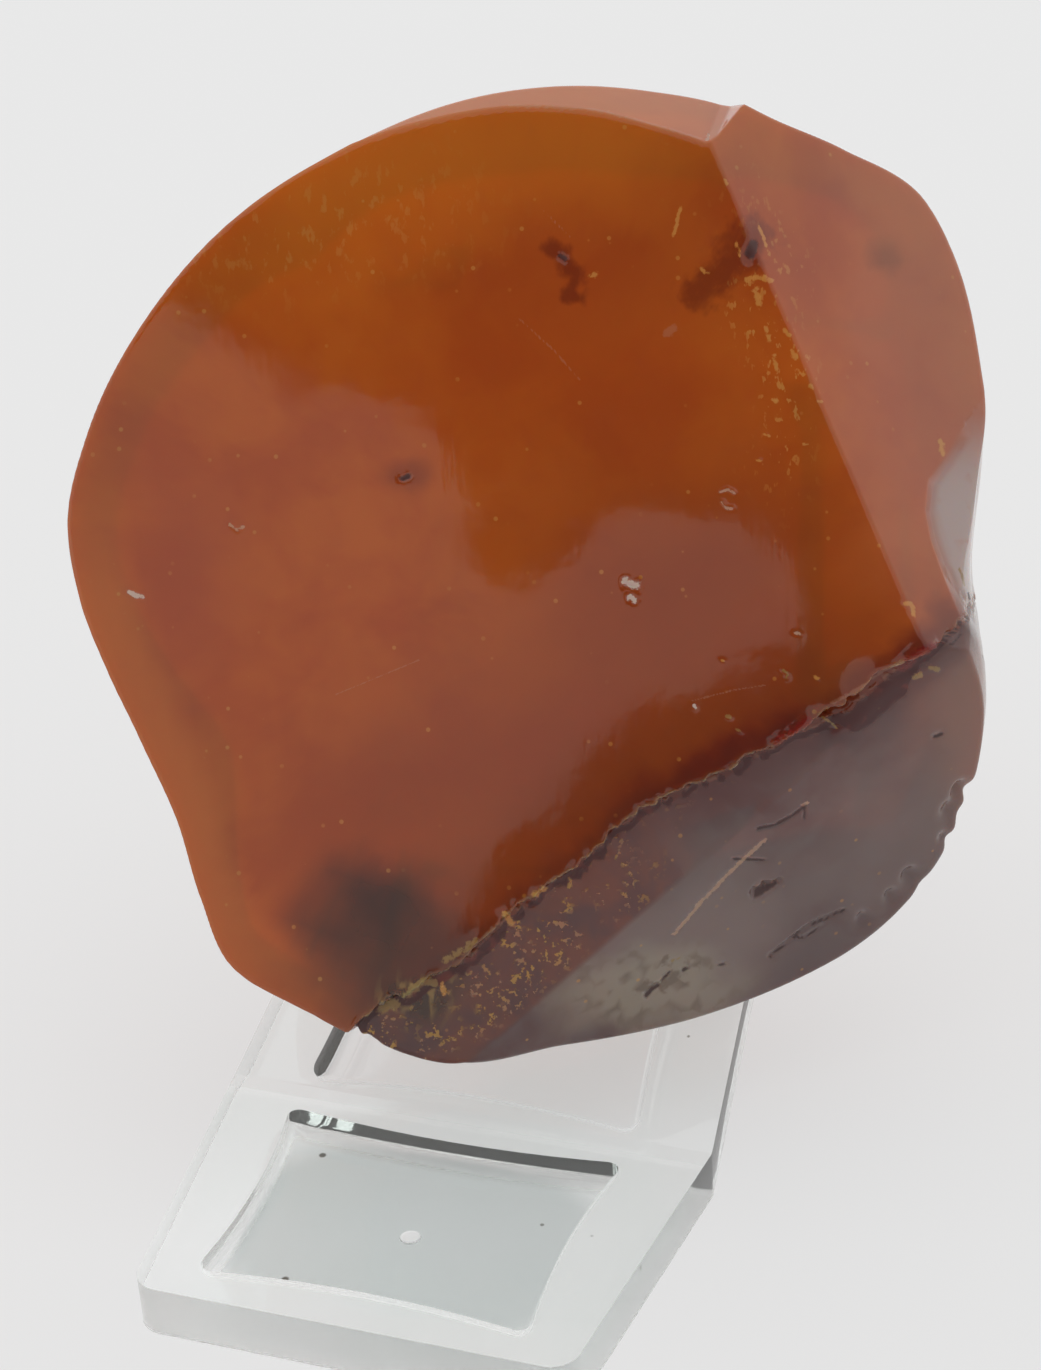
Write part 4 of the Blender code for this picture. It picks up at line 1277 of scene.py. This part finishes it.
FLOOR_RADIUS = 4.0
FLOOR_LEVEL = -0.1          # millimetres: a hair's breadth under the stand
FLOOR_COLOUR = srgb(150, 150, 150)
FLOOR_GLOW = 0.5            # light from the floor itself, as from a light table
ROOM_WHITE = 1.1           # light from all round, and from behind the camera
ROOM_DIM = 0.7
ROOM_NEAR_ANGLE = 22.0
ROOM_FAR_ANGLE = 55.0
FLAG_COLOUR = (0.09, 0.09, 0.09)
FLAG_DISTANCE = 400.0       # from the nugget's middle towards the camera and past it
FLAG_OUTLINE = (
    (-190.0, 18.0), (-130.0, 10.0), (-112.0, 3.0), (-94.0, -12.0), (-60.0, -14.0), (-58.0, -41.0),
    (-46.0, -53.0), (-32.0, -50.0), (-23.0, -34.0), (11.0, -43.0), (23.0, -60.0), (21.0, -71.0),
    (0.0, -78.0), (-18.0, -89.0), (-30.0, -104.0), (-44.0, -120.0), (-56.0, -138.0),
    (-66.0, -160.0), (-60.0, -185.0), (70.0, -185.0),
    (80.0, -60.0), (90.0, 70.0), (-60.0, 90.0), (-190.0, 80.0),
)


def eye_axes():
    """Directions from the object to the camera, and across and up its image."""
    azimuth = math.radians(EYE_AZIMUTH)
    elevation = math.radians(EYE_ELEVATION)
    back = Vector((
        math.sin(azimuth) * math.cos(elevation), -math.cos(azimuth) * math.cos(elevation),
        math.sin(elevation)))
    turn = (-back).to_track_quat("-Z", "Y") @ Matrix.Rotation(
        math.radians(EYE_ROLL), 3, "Z").to_quaternion()
    return back, turn


def make_camera():
    data = bpy.data.cameras.new("camera")
    data.sensor_width = SENSOR
    data.lens = FOCAL_PIXELS / max(PHOTO_WIDTH, PHOTO_HEIGHT) * SENSOR
    data.clip_start = 0.01
    camera = bpy.data.objects.new("camera", data)
    bpy.context.scene.collection.objects.link(camera)
    _, turn = eye_axes()
    camera.location = Vector(EYE) * MM
    camera.rotation_mode = "QUATERNION"
    camera.rotation_quaternion = turn
    bpy.context.scene.camera = camera


def make_floor():
    bm = bmesh.new()
    bmesh.ops.create_circle(bm, cap_ends=True, segments=96, radius=FLOOR_RADIUS)
    floor = mesh_object("floor", bm)
    floor.location.z = FLOOR_LEVEL * MM
    pale = plain_material("floor_pale", FLOOR_COLOUR, 0.9)
    shader = pale.node_tree.nodes["Principled BSDF"]
    shader.inputs["Emission Color"].default_value = (1.0, 1.0, 1.0, 1.0)
    shader.inputs["Emission Strength"].default_value = FLOOR_GLOW
    floor.data.materials.append(pale)


def make_flag():
    """Dark card behind the camera, seen only in reflections: it clears the upper face."""
    bm = bmesh.new()
    corners = [bm.verts.new((x * MM, y * MM, 0.0)) for x, y in FLAG_OUTLINE]
    bm.faces.new(corners)
    flag = mesh_object("flag", bm)
    back, turn = eye_axes()
    centre = Vector(NUGGET_CENTRE) + Vector((0.0, CREASE_BACK, 0.0))
    flag.location = (centre + back * FLAG_DISTANCE) * MM
    flag.rotation_mode = "QUATERNION"
    flag.rotation_quaternion = turn
    flag.data.materials.append(plain_material("flag_dark", FLAG_COLOUR, 1.0))
    flag.visible_camera = False
    flag.visible_diffuse = False
    flag.visible_transmission = False
    flag.visible_shadow = False


def make_light():
    world = bpy.data.worlds.new("studio")
    world.use_nodes = True
    background = world.node_tree.nodes["Background"]
    background.inputs["Color"].default_value = (1.0, 1.0, 1.0, 1.0)
    tree = world.node_tree
    coordinates = tree.nodes.new("ShaderNodeTexCoord")
    towards = tree.nodes.new("ShaderNodeVectorMath")
    towards.operation = "DOT_PRODUCT"
    towards.inputs[1].default_value = eye_axes()[0]
    tree.links.new(coordinates.outputs["Generated"], towards.inputs[0])
    level = tree.nodes.new("ShaderNodeMapRange")
    level.interpolation_type = "SMOOTHSTEP"
    level.inputs["From Min"].default_value = math.cos(math.radians(ROOM_FAR_ANGLE))
    level.inputs["From Max"].default_value = math.cos(math.radians(ROOM_NEAR_ANGLE))
    level.inputs["To Min"].default_value = ROOM_WHITE
    level.inputs["To Max"].default_value = ROOM_DIM
    tree.links.new(towards.outputs["Value"], level.inputs["Value"])
    tree.links.new(level.outputs["Result"], background.inputs["Strength"])
    bpy.context.scene.world = world


make_camera()
make_floor()
make_flag()
make_light()
make_stand(stand_material())
make_nugget(amber_fields(), amber_material())
bpy.context.scene.view_settings.view_transform = "Standard"

bpy.context.view_layer.update()
